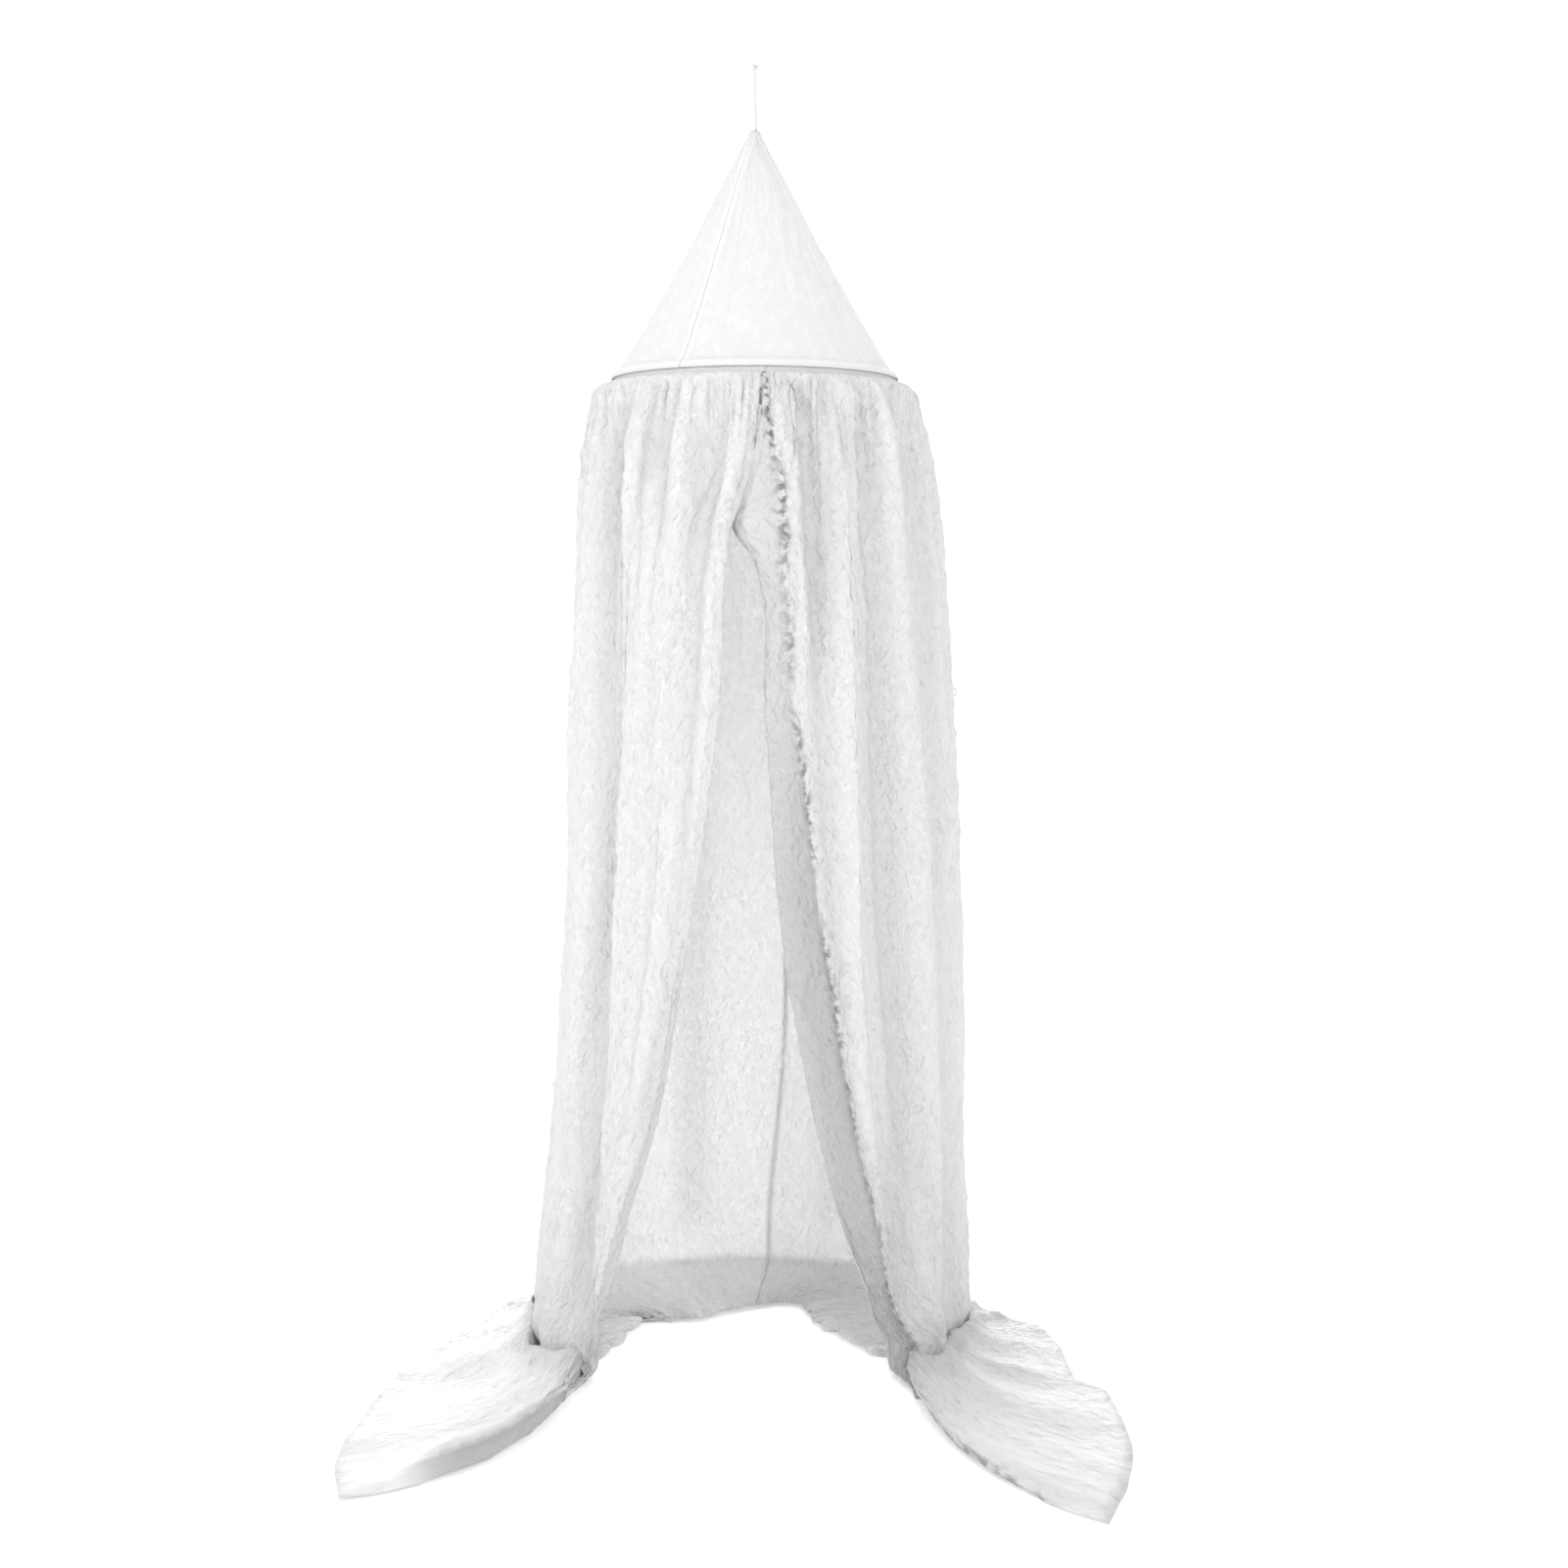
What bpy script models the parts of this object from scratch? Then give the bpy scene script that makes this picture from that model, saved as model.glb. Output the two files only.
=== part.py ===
"""A hanging bed canopy: a cone of cloth on a hoop, with a floor-length curtain open at the front.

Units are metres, +Z up. The origin is the hanging point, at the top of the cord, and the opening
faces -Y. The floor that the hem lies on is FLOOR_Z below it. Each curtain panel is one sheet: it
falls from the heading, folds inwards on the floor, comes back under itself and runs out as a train.
At its front edge there is no such fold: the edge runs straight on from the wall along the train.
"""
import math

import bmesh
import bpy
from mathutils import Vector

# Driving sizes.
FLOOR_Z = -1.94
CLOTH = 0.0016
SEAM_HALF_GAP = 0.0005

# Cord and knot.
CORD_DIAMETER = 0.005
CORD_ROUTE = (
    # x, y, z, from the knot down to the cone
    (0.0000, 0.0, -0.0123),
    (0.0001, 0.0, -0.0190),
    (0.0001, 0.0, -0.0255),
    (0.0002, 0.0, -0.0320),
    (0.0004, 0.0, -0.0385),
    (0.0006, 0.0, -0.0450),
    (0.0008, 0.0, -0.0515),
    (0.0010, 0.0, -0.0580),
    (0.0012, 0.0, -0.0645),
    (0.0014, 0.0, -0.0710),
    (0.0016, 0.0, -0.0775),
    (0.0018, 0.0, -0.0840),
    (0.0019, 0.0, -0.0905),
    (0.0020, 0.0, -0.0975),
    (0.0020, 0.0, -0.1040),
)
KNOT_RADIUS = 0.006
KNOT_STEPS = (12, 7)

# Hoop and heading band.
HOOP_RADIUS = 0.2050
HOOP_TUBE = 0.004
HOOP_STEPS = (48, 8)
HOOP_Z = -0.4655
BAND_RADIUS = 0.2129
BAND_THICKNESS = 0.0014
BAND_TOP_Z = -0.4645
BAND_BOTTOM_Z = -0.4845
BAND_JOIN_DEG = 5.0
BAND_JOIN_GAP_DEG = 0.12
BAND_STEPS = 72

# Cone: how far below the hanging point, and how wide, from the blunt tip to the turned hem.
CONE_PROFILE = (
    # z, radius
    (-0.1000, 0.0068),
    (-0.1130, 0.0135),
    (-0.1500, 0.0345),
    (-0.2200, 0.0725),
    (-0.3000, 0.1160),
    (-0.3800, 0.1605),
    (-0.4400, 0.1955),
    (-0.4575, 0.2070),
    (-0.4635, 0.2152),
    (-0.4700, 0.2160),
)
GORE_SEAMS_DEG = (-29.0, 54.0, 144.0, 235.0)
GORE_COLUMNS = 12
GORE_GAP = 0.0004
GORE_SAG = 0.004
GORE_SAG_END = 0.95

# Curtain wall: radius at each height above the floor, at its left side, right side and back.
WALL_PROFILE = (
    # height, left, right, back
    (1.4570, 0.2155, 0.2155, 0.2155),
    (1.4600, 0.2260, 0.2250, 0.2255),
    (1.4585, 0.2370, 0.2350, 0.2360),
    (1.4500, 0.2435, 0.2405, 0.2420),
    (1.4300, 0.2465, 0.2440, 0.2450),
    (1.3800, 0.2490, 0.2550, 0.2520),
    (1.3000, 0.2570, 0.2690, 0.2600),
    (1.2400, 0.2620, 0.2770, 0.2640),
    (1.2000, 0.2645, 0.2805, 0.2660),
    (1.1600, 0.2670, 0.2840, 0.2680),
    (1.0000, 0.2790, 0.2950, 0.2750),
    (0.8500, 0.2860, 0.3040, 0.2800),
    (0.7000, 0.2920, 0.3090, 0.2840),
    (0.5500, 0.3020, 0.3120, 0.2870),
    (0.4000, 0.3110, 0.3150, 0.2900),
    (0.2500, 0.3270, 0.3190, 0.2920),
    (0.1400, 0.3410, 0.3220, 0.2920),
    (0.0850, 0.3470, 0.3230, 0.2900),
    (0.0450, 0.3490, 0.3230, 0.2880),
)
SIDE_FROM_DEG = 60.0
BACK_FROM_DEG = 90.0

# How far to the right of the middle of the back the seam between the panels runs.
SEAM_TURN = (
    # height, degrees
    (1.457, 4.0),
    (1.000, 8.0),
    (0.550, 9.5),
    (0.360, 8.6),
    (0.270, 6.9),
    (0.200, 5.0),
    (0.085, 3.6),
)

# Front edges: degrees round from the front, on each panel's own side, at each height.
EDGE_SWING = (
    # height, left, right
    (1.457, -2.6, 3.4),
    (1.360, -1.2, 3.0),
    (1.310, 1.2, 3.1),
    (1.262, 4.2, 3.1),
    (1.232, 6.6, 3.2),
    (1.200, 7.7, 3.3),
    (1.160, 8.4, 3.4),
    (1.000, 9.4, 4.3),
    (0.850, 12.8, 6.0),
    (0.700, 17.3, 8.0),
    (0.550, 22.0, 12.0),
    (0.400, 27.6, 17.5),
    (0.250, 34.5, 25.0),
    (0.140, 39.0, 33.0),
    (0.085, 43.0, 39.0),
    (0.045, 45.5, 44.5),
)
SWING_FALL_OFF = 2.5

# The right edge's own turn towards the front, where it passes behind the left edge.
EDGE_OVERLAP = (
    # height, degrees
    (1.420, 0.0),
    (1.360, -1.1),
    (1.310, -4.9),
    (1.262, -8.2),
    (1.232, -8.9),
    (1.200, -2.7),
    (1.160, 0.0),
)
OVERLAP_FALL_OFF = 12.0

# Folds of each panel: where the crest or trough runs at three heights, its depth and its spread.
FOLD_HEIGHTS = (1.16, 0.75, 0.37)
LEFT_FOLDS = (
    # high_deg, middle_deg, low_deg, depth, spread_deg
    (16.0, 21.0, 31.5, -0.008, 4.0),
    (24.0, 27.0, 36.0, 0.005, 4.5),
    (38.0, 37.0, 41.0, 0.013, 6.0),
    (53.0, 48.0, 50.0, -0.017, 7.0),
    (74.0, 63.0, 64.0, 0.011, 8.0),
    (92.0, 84.0, 82.0, -0.009, 8.0),
    (108.0, 104.0, 102.0, 0.010, 8.0),
    (124.0, 122.0, 120.0, -0.012, 8.0),
    (141.0, 140.0, 140.0, 0.009, 8.0),
    (157.0, 157.0, 157.0, -0.007, 7.0),
    (172.0, 172.0, 172.0, 0.006, 5.5),
)
RIGHT_FOLDS = (
    (12.0, 17.0, 25.0, 0.006, 4.0),
    (19.6, 22.5, 29.0, -0.009, 4.0),
    (29.0, 28.5, 33.0, 0.013, 4.5),
    (37.0, 38.0, 42.5, -0.018, 6.0),
    (48.5, 51.5, 54.0, 0.012, 5.5),
    (64.0, 65.0, 67.5, -0.011, 7.0),
    (81.0, 82.0, 83.0, 0.009, 7.0),
    (97.0, 98.0, 98.0, -0.012, 8.0),
    (115.0, 114.0, 113.0, 0.010, 8.0),
    (132.0, 130.0, 129.0, -0.008, 8.0),
    (147.0, 146.0, 145.0, 0.008, 7.0),
    (159.0, 157.0, 156.0, -0.005, 5.0),
)
FOLD_START_HEIGHT = 1.45
FOLD_FULL_HEIGHT = 1.36

# Gathers just below the heading.
GATHER_PITCH_DEG = 15.0
GATHER_DEPTH = 0.0035
GATHER_TOP_HEIGHT = 1.457
GATHER_FADE = 0.14
GATHER_START = 0.02

# Front hems turned towards the inside: depth at the edge and how far round the turn reaches.
LEFT_LIP = (0.006, 5.0)
RIGHT_LIP = (0.030, 13.0)
LIP_START_HEIGHT = 1.40
LIP_START_DROP = 0.25

# Where the inner fold on the floor reaches, by share of the panel from front edge to back seam.
LEFT_INNER = (
    # share, x, y
    (0.00, -0.2720, -0.3100),
    (0.10, -0.2350, -0.1550),
    (0.25, -0.2050, -0.0600),
    (0.40, -0.1720, 0.0350),
    (0.55, -0.1400, 0.0300),
    (0.70, -0.1000, 0.0300),
    (0.85, -0.0500, 0.0650),
    (1.00, 0.0000, 0.0950),
)
RIGHT_INNER = (
    (0.00, 0.2380, -0.3000),
    (0.10, 0.2130, -0.1500),
    (0.25, 0.1650, -0.1050),
    (0.40, 0.1250, -0.0350),
    (0.55, 0.0900, 0.0300),
    (0.70, 0.0750, 0.0950),
    (0.85, 0.0400, 0.1120),
    (1.00, 0.0000, 0.0950),
)

# Rows of the inner fold: height above the floor, share of the way in, and which layer it is.
INNER_ROWS = (
    # height, share, coming back underneath
    (0.0240, 0.03, False),
    (0.0170, 0.14, False),
    (0.0155, 0.40, False),
    (0.0145, 0.64, False),
    (0.0135, 0.86, False),
    (0.0095, 1.00, False),
    (0.0057, 0.95, True),
    (0.0042, 0.50, True),
    (0.0032, 0.00, True),
)

# The hem on the floor, and the bend of the front edge on its way there.
LEFT_HEM = (
    # share, x, y
    (0.00, -0.5200, -0.6550),
    (0.08, -0.5500, -0.5200),
    (0.16, -0.5450, -0.4000),
    (0.24, -0.5350, -0.2700),
    (0.32, -0.5050, -0.1500),
    (0.42, -0.4580, -0.0300),
    (0.50, -0.4280, 0.0700),
    (0.58, -0.3950, 0.1350),
    (0.70, -0.3050, 0.2250),
    (0.85, -0.1650, 0.3050),
    (1.00, 0.0000, 0.3300),
)
RIGHT_HEM = (
    (0.00, 0.4450, -0.7250),
    (0.07, 0.4900, -0.6000),
    (0.14, 0.5150, -0.4500),
    (0.21, 0.5100, -0.2800),
    (0.27, 0.4700, -0.2150),
    (0.34, 0.4650, -0.0900),
    (0.42, 0.4400, 0.0100),
    (0.50, 0.3900, 0.0600),
    (0.60, 0.3450, 0.1300),
    (0.72, 0.2700, 0.2300),
    (0.86, 0.1450, 0.3100),
    (1.00, 0.0000, 0.3300),
)
LEFT_EDGE_BEND = (0.0820, -0.1150)
RIGHT_EDGE_BEND = (-0.0900, -0.0750)
BEND_REACH = 0.5
EDGE_SETTLE = 0.16
TRAIN_ROWS = (0.14, 0.30, 0.48, 0.66, 0.84, 1.00)
TRAIN_HEIGHT = 0.0030

# Folds of each train, running from the foot of the wall out to the hem.
LEFT_TRAIN_FOLDS = (
    # share, height, spread
    (0.035, 0.026, 0.026),
    (0.150, 0.010, 0.040),
    (0.290, 0.012, 0.050),
    (0.440, 0.008, 0.050),
)
RIGHT_TRAIN_FOLDS = (
    (0.030, 0.014, 0.030),
    (0.130, 0.009, 0.035),
    (0.245, 0.014, 0.035),
    (0.360, 0.008, 0.045),
)

# Mesh steps of a panel, closer together towards the front.
PANEL_COLUMNS = 46
COLUMN_BIAS = 1.15

# A small cord loop on the right panel.
LOOP_COLUMN = 26
LOOP_ROW = 10
LOOP_RADIUS = 0.0062
LOOP_TUBE = 0.0012
LOOP_STEPS = (20, 6)
LOOP_STAND_OFF = 0.0007


def clear_scene():
    """Remove every object that the scene starts with."""
    for thing in list(bpy.data.objects):
        bpy.data.objects.remove(thing, do_unlink=True)


def cloth_material(name, colour, roughness):
    """Return a plain cloth finish."""
    material = bpy.data.materials.new(name)
    material.use_nodes = True
    shader = material.node_tree.nodes["Principled BSDF"]
    shader.inputs["Base Color"].default_value = (*colour, 1.0)
    shader.inputs["Roughness"].default_value = roughness
    shader.inputs["Metallic"].default_value = 0.0
    return material


def add_object(name, mesh, material):
    """Link a mesh to the scene under a name, with its finish."""
    thing = bpy.data.objects.new(name, mesh)
    mesh.materials.append(material)
    bpy.context.scene.collection.objects.link(thing)
    return thing


def read_column(rows, at, column):
    """Read one column of a table at a place between its rows, in a straight line between them."""
    ordered = sorted(rows, key=lambda row: row[0])
    if at <= ordered[0][0]:
        return ordered[0][column]
    for low, high in zip(ordered, ordered[1:]):
        if at <= high[0]:
            share = (at - low[0]) / (high[0] - low[0])
            return low[column] + (high[column] - low[column]) * share
    return ordered[-1][column]


def ease(value):
    """Smooth step from 0 to 1."""
    value = min(max(value, 0.0), 1.0)
    return value * value * (3.0 - 2.0 * value)


def sheet_from_grid(name, rows, material, thickness):
    """Make a closed sheet from rows of points on its middle surface."""
    shape = bmesh.new()
    grid = [[shape.verts.new(point) for point in row] for row in rows]
    for upper, lower in zip(grid, grid[1:]):
        for place in range(len(upper) - 1):
            shape.faces.new((upper[place], lower[place], lower[place + 1], upper[place + 1]))
    mesh = bpy.data.meshes.new(name)
    shape.to_mesh(mesh)
    shape.free()
    mesh.shade_smooth()
    sheet = add_object(name, mesh, material)
    wall = sheet.modifiers.new("thickness", "SOLIDIFY")
    wall.thickness = thickness
    wall.offset = 0.0
    wall.use_rim = True
    return sheet


class Panel:
    """One curtain panel: its side, and the tables that shape it."""

    def __init__(self, name, side):
        left = side < 0
        self.name = name
        self.side = side
        self.radius_column = 1 if left else 2
        self.folds = LEFT_FOLDS if left else RIGHT_FOLDS
        self.lip = LEFT_LIP if left else RIGHT_LIP
        self.inner = LEFT_INNER if left else RIGHT_INNER
        self.hem = LEFT_HEM if left else RIGHT_HEM
        self.edge_bend = Vector(LEFT_EDGE_BEND if left else RIGHT_EDGE_BEND)
        self.train_folds = LEFT_TRAIN_FOLDS if left else RIGHT_TRAIN_FOLDS

    def span(self, height):
        """Degrees from the front round to the back seam, on this panel's side."""
        return 180.0 - self.side * read_column(SEAM_TURN, height, 1)

    def angle(self, share, height):
        """Degrees round from the front, on this panel's side."""
        swing = read_column(EDGE_SWING, height, self.radius_column)
        angle = share * self.span(height) + swing * (1.0 - share) ** SWING_FALL_OFF
        if self.side > 0:
            angle += read_column(EDGE_OVERLAP, height, 1) * (1.0 - share) ** OVERLAP_FALL_OFF
        return angle

    def fold_depth(self, angle, height):
        """How far the folds stand out from, or in from, the plain wall."""
        high, middle, low = FOLD_HEIGHTS
        total = 0.0
        for high_deg, middle_deg, low_deg, depth, spread in self.folds:
            track = ((low, low_deg), (middle, middle_deg), (high, high_deg))
            centre = read_column(track, height, 1)
            total += depth * math.exp(-((angle - centre) / spread) ** 2)
        strength = ease((FOLD_START_HEIGHT - height) / (FOLD_START_HEIGHT - FOLD_FULL_HEIGHT))
        below = max(GATHER_TOP_HEIGHT - height, 0.0)
        gather = math.sin(math.radians(angle) * 360.0 / GATHER_PITCH_DEG)
        fade = min(below / GATHER_START, 1.0) * max(1.0 - below / GATHER_FADE, 0.0)
        return total * strength + GATHER_DEPTH * gather * fade

    def lip_turn(self, angle, height):
        """How far the front hem turns in."""
        depth, reach = self.lip
        from_edge = angle - self.angle(0.0, height)
        start = ease((LIP_START_HEIGHT - height) / LIP_START_DROP)
        return depth * start * max(1.0 - from_edge / reach, 0.0) ** 2

    def wall_point(self, share, profile):
        """A point of the hanging part, from a row of the wall profile."""
        height, back = profile[0], profile[3]
        angle = self.angle(share, height)
        middle = (profile[1] + profile[2]) / 2.0
        radius = middle + (profile[self.radius_column] - middle) * ease(angle / SIDE_FROM_DEG)
        to_back = (angle - BACK_FROM_DEG) / (self.span(height) - BACK_FROM_DEG)
        radius += (back - radius) * ease(to_back)
        radius += self.fold_depth(angle, height) - self.lip_turn(angle, height)
        turn = math.radians(angle)
        across = self.side * (radius * math.sin(turn) + SEAM_HALF_GAP)
        return Vector((across, -radius * math.cos(turn), FLOOR_Z + height))

    def plan(self, table, share):
        """A place on the floor from a table of shares."""
        across = read_column(table, share, 1) + self.side * SEAM_HALF_GAP
        return Vector((across, read_column(table, share, 2)))

    def foot(self, share):
        """Where the wall meets the floor."""
        return self.wall_point(share, WALL_PROFILE[-1]).to_2d()

    def inner_place(self, share, inwards):
        """A place on the floor between the foot of the wall and the inner fold."""
        return self.foot(share).lerp(self.plan(self.inner, share), inwards)

    def train_start(self, share):
        """Where the train leaves the wall; near the front edge it starts at the inner fold."""
        return self.inner_place(share, 1.0 - ease(share / EDGE_SETTLE))

    def inner_point(self, share, height, inwards, returning):
        """A point of the fold that lies inside on the floor."""
        place = self.inner_place(share, inwards)
        if returning:
            place = self.train_start(share).lerp(self.plan(self.inner, share), inwards)
        return Vector((place.x, place.y, FLOOR_Z + height))

    def train_point(self, share, along):
        """A point of the train, from the foot of the wall out to the hem."""
        start = self.train_start(share)
        end = self.plan(self.hem, share)
        bend = start.lerp(end, 0.5) + self.edge_bend * max(1.0 - share / BEND_REACH, 0.0) ** 2
        place = start.lerp(bend, along).lerp(bend.lerp(end, along), along)
        rise = sum(
            height * math.exp(-((share - centre) / spread) ** 2)
            for centre, height, spread in self.train_folds
        )
        rise *= math.sin(math.pi * along) ** 2
        return Vector((place.x, place.y, FLOOR_Z + TRAIN_HEIGHT + rise))

    def rows(self):
        """Every row of the panel, heading first."""
        shares = [(step / PANEL_COLUMNS) ** COLUMN_BIAS for step in range(PANEL_COLUMNS + 1)]
        rows = [[self.wall_point(share, profile) for share in shares] for profile in WALL_PROFILE]
        for height, inwards, returning in INNER_ROWS:
            rows.append([self.inner_point(share, height, inwards, returning) for share in shares])
        for along in TRAIN_ROWS:
            rows.append([self.train_point(share, along) for share in shares])
        if self.side < 0:
            rows = [list(reversed(row)) for row in rows]
        return rows

    def build(self, material):
        """Make the panel."""
        return sheet_from_grid(self.name, self.rows(), material, CLOTH)


def build_gores(material):
    """Make the cone's gores, a hair apart along their seams."""
    ends = GORE_SEAMS_DEG[1:] + (GORE_SEAMS_DEG[0] + 360.0,)
    for number, (start, end) in enumerate(zip(GORE_SEAMS_DEG, ends), 1):
        rows = []
        for z, radius in CONE_PROFILE:
            inset = math.asin(GORE_GAP / 2.0 / radius)
            first = math.radians(start) + inset
            last = math.radians(end) - inset
            down = (CONE_PROFILE[0][0] - z) / (CONE_PROFILE[0][0] - CONE_PROFILE[-1][0])
            down = min(down / GORE_SAG_END, 1.0)
            row = []
            for step in range(GORE_COLUMNS + 1):
                across = step / GORE_COLUMNS
                turn = first + (last - first) * across
                sag = GORE_SAG * math.sin(math.pi * across) * math.sin(math.pi * down)
                reach = radius - sag
                row.append((reach * math.sin(turn), -reach * math.cos(turn), z))
            rows.append(row)
        sheet_from_grid(f"cone_gore_{number}", rows, material, CLOTH)


def build_band(material):
    """Make the flat strip between the cone and the gathers, open at its join."""
    start = math.radians(BAND_JOIN_DEG + BAND_JOIN_GAP_DEG)
    sweep = math.radians(360.0 - 2.0 * BAND_JOIN_GAP_DEG)
    rows = []
    for z in (BAND_TOP_Z, BAND_BOTTOM_Z):
        row = []
        for step in range(BAND_STEPS + 1):
            turn = start + sweep * step / BAND_STEPS
            row.append((BAND_RADIUS * math.sin(turn), -BAND_RADIUS * math.cos(turn), z))
        rows.append(row)
    sheet_from_grid("heading_band", rows, material, BAND_THICKNESS)


def build_ring(name, radius, tube, steps, material):
    """Make a round ring about Z at the origin."""
    bpy.ops.mesh.primitive_torus_add(
        major_radius=radius, minor_radius=tube, major_segments=steps[0], minor_segments=steps[1]
    )
    ring = bpy.context.active_object
    ring.name = name
    ring.data.name = name
    ring.data.shade_smooth()
    ring.data.materials.append(material)
    return ring


def build_cord(material):
    """Make the cord that the cone hangs from, and the knot at its top."""
    line = bpy.data.curves.new("hanging_cord", "CURVE")
    line.dimensions = "3D"
    line.bevel_depth = CORD_DIAMETER / 2.0
    line.bevel_resolution = 2
    line.use_fill_caps = True
    spline = line.splines.new("POLY")
    spline.points.add(len(CORD_ROUTE) - 1)
    for point, place in zip(spline.points, CORD_ROUTE):
        point.co = (*place, 1.0)
    add_object("hanging_cord", line, material)

    segments, rings = KNOT_STEPS
    bpy.ops.mesh.primitive_uv_sphere_add(segments=segments, ring_count=rings, radius=KNOT_RADIUS)
    knot = bpy.context.active_object
    knot.name = "cord_knot"
    knot.location.z = -KNOT_RADIUS
    knot.data.shade_smooth()
    knot.data.materials.append(material)


def build_loop(panel, material):
    """Make the small loop of cord that stands on the right panel's side."""
    row = panel.rows()[LOOP_ROW]
    spot = row[LOOP_COLUMN]
    outwards = Vector((spot.x, spot.y, 0.0)).normalized()
    loop = build_ring("side_loop", LOOP_RADIUS, LOOP_TUBE, LOOP_STEPS, material)
    loop.location = spot + outwards * (CLOTH / 2.0 + LOOP_RADIUS + LOOP_TUBE + LOOP_STAND_OFF)
    loop.rotation_euler.x = math.pi / 2.0


def main():
    """Build the whole canopy."""
    clear_scene()
    muslin = cloth_material("muslin", (0.90, 0.90, 0.89), 0.90)
    band_cloth = cloth_material("band_cloth", (0.84, 0.84, 0.83), 0.90)
    cotton_cord = cloth_material("cotton_cord", (0.86, 0.86, 0.85), 0.85)
    hoop_finish = cloth_material("hoop_finish", (0.82, 0.82, 0.80), 0.50)

    build_cord(cotton_cord)
    build_gores(muslin)
    hoop = build_ring("hoop", HOOP_RADIUS, HOOP_TUBE, HOOP_STEPS, hoop_finish)
    hoop.location.z = HOOP_Z
    build_band(band_cloth)
    left = Panel("curtain_left", -1)
    right = Panel("curtain_right", 1)
    left.build(muslin)
    right.build(muslin)
    build_loop(right, cotton_cord)


main()
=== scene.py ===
"""Hanging bed canopy: the finished look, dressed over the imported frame.

Metres, +Z up, origin at the hanging point, opening towards -Y. The cloth is crinkled white cotton
gauze: a cone of gores over a hoop, a plain band, and two gathered panels that fall to the floor,
fold inwards there and run out as a train on each side.
"""
import logging
import math
from dataclasses import dataclass
from enum import Enum
from typing import Sequence

import bpy
import numpy as np
from mathutils import Matrix, Vector


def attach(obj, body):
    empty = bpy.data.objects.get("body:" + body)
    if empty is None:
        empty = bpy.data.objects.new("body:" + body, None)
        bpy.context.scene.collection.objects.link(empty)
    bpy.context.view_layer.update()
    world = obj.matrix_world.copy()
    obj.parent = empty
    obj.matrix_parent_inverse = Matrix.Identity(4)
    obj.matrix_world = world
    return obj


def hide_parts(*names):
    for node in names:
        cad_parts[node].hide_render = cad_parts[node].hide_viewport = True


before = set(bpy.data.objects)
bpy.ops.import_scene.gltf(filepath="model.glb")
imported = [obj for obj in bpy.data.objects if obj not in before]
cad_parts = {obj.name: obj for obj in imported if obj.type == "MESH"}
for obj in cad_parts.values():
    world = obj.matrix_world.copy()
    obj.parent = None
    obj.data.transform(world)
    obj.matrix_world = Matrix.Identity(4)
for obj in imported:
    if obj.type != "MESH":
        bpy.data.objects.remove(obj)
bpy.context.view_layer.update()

LOG = logging.getLogger("bed_canopy")

FLOOR_Z = -1.94
SEAM_HALF_GAP = 0.00005
FEWEST_STEPS = 3
UV_NAME = "cloth"
STITCH_UV_NAME = "stitching"
# The mask of real double layers and of painted shade
DOUBLING_AND_SHADE_NAME = "doubling_and_shade"
BACKED_NAME = "backed"

Table = Sequence[Sequence[float]]
Numbers = tuple[float, ...]
Pair = tuple[float, float]
Triple = tuple[float, float, float]
Fade = Pair
Array = np.ndarray
Piece = bpy.types.Object
Socket = bpy.types.NodeSocket
Material = bpy.types.Material


class Side(Enum):
    """Which curtain panel: the sign of X on its side."""

    LEFT = -1
    RIGHT = 1


class Slot(Enum):
    """The record's material slots."""

    CORD = "cotton_cord"
    CONE = "cone_cloth"
    BAND = "band_cloth"
    CURTAIN = "curtain_cloth"
    HOOP = "hoop"


# Reading tables and easing

def ease(value: Array) -> Array:
    """Smooth step from 0 to 1."""
    value = np.clip(value, 0.0, 1.0)
    return value * value * (3.0 - 2.0 * value)


def rising(value: Array, fade: Fade) -> Array:
    """Ease from 0 to 1, from a start and over a width."""
    return ease((value - fade[0]) / fade[1])


def falling(value: Array, fade: Fade) -> Array:
    """Ease from 1 to 0, up to an end and over the width before it."""
    return ease((fade[0] - value) / fade[1])


def past(value: Array, edge: Array, blur: float) -> Array:
    """Ease from 0 to 1 over a blur that lies half on each side of an edge."""
    return ease((value - edge) / blur + 0.5)


def hump(at: Array, centre: float, spread: float) -> Array:
    """A round hump of height 1 at a centre."""
    return np.exp(-(((at - centre) / spread) ** 2))


def cubic(along: Array, width: Array, ends: Sequence[Array], slopes: Sequence[Array]) -> Array:
    """Read a cubic between two ends with given slopes, from 0 to 1 along a width."""
    square, cube = along ** 2, along ** 3
    return (
        (2.0 * cube - 3.0 * square + 1.0) * ends[0]
        + (cube - 2.0 * square + along) * width * slopes[0]
        + (3.0 * square - 2.0 * cube) * ends[1]
        + (cube - square) * width * slopes[1]
    )


def through(table: Table, at: Array, column: int) -> Array:
    """Read one column of a table along a smooth line through its rows.

    Args:
        table: Rows that start with the place they stand at.
        at: Places to read.
        column: The column to read.

    Returns:
        The value at each place, held level past both ends.
    """
    rows = np.array(sorted(table), dtype=float)
    places, values = rows[:, 0], rows[:, column]
    gaps = np.diff(places)
    slopes = np.diff(values) / gaps
    tangents = np.empty(len(places))
    tangents[0], tangents[-1] = slopes[0], slopes[-1]
    product = slopes[:-1] * slopes[1:]
    total = slopes[:-1] + slopes[1:]
    total[total == 0.0] = 1.0
    tangents[1:-1] = np.where(product > 0.0, 2.0 * product / total, 0.0)
    at = np.clip(np.asarray(at, dtype=float), places[0], places[-1])
    low = np.clip(np.searchsorted(places, at) - 1, 0, len(places) - 2)
    along = (at - places[low]) / gaps[low]
    return cubic(along, gaps[low], (values[low], values[low + 1]), (tangents[low], tangents[low + 1]))


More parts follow.
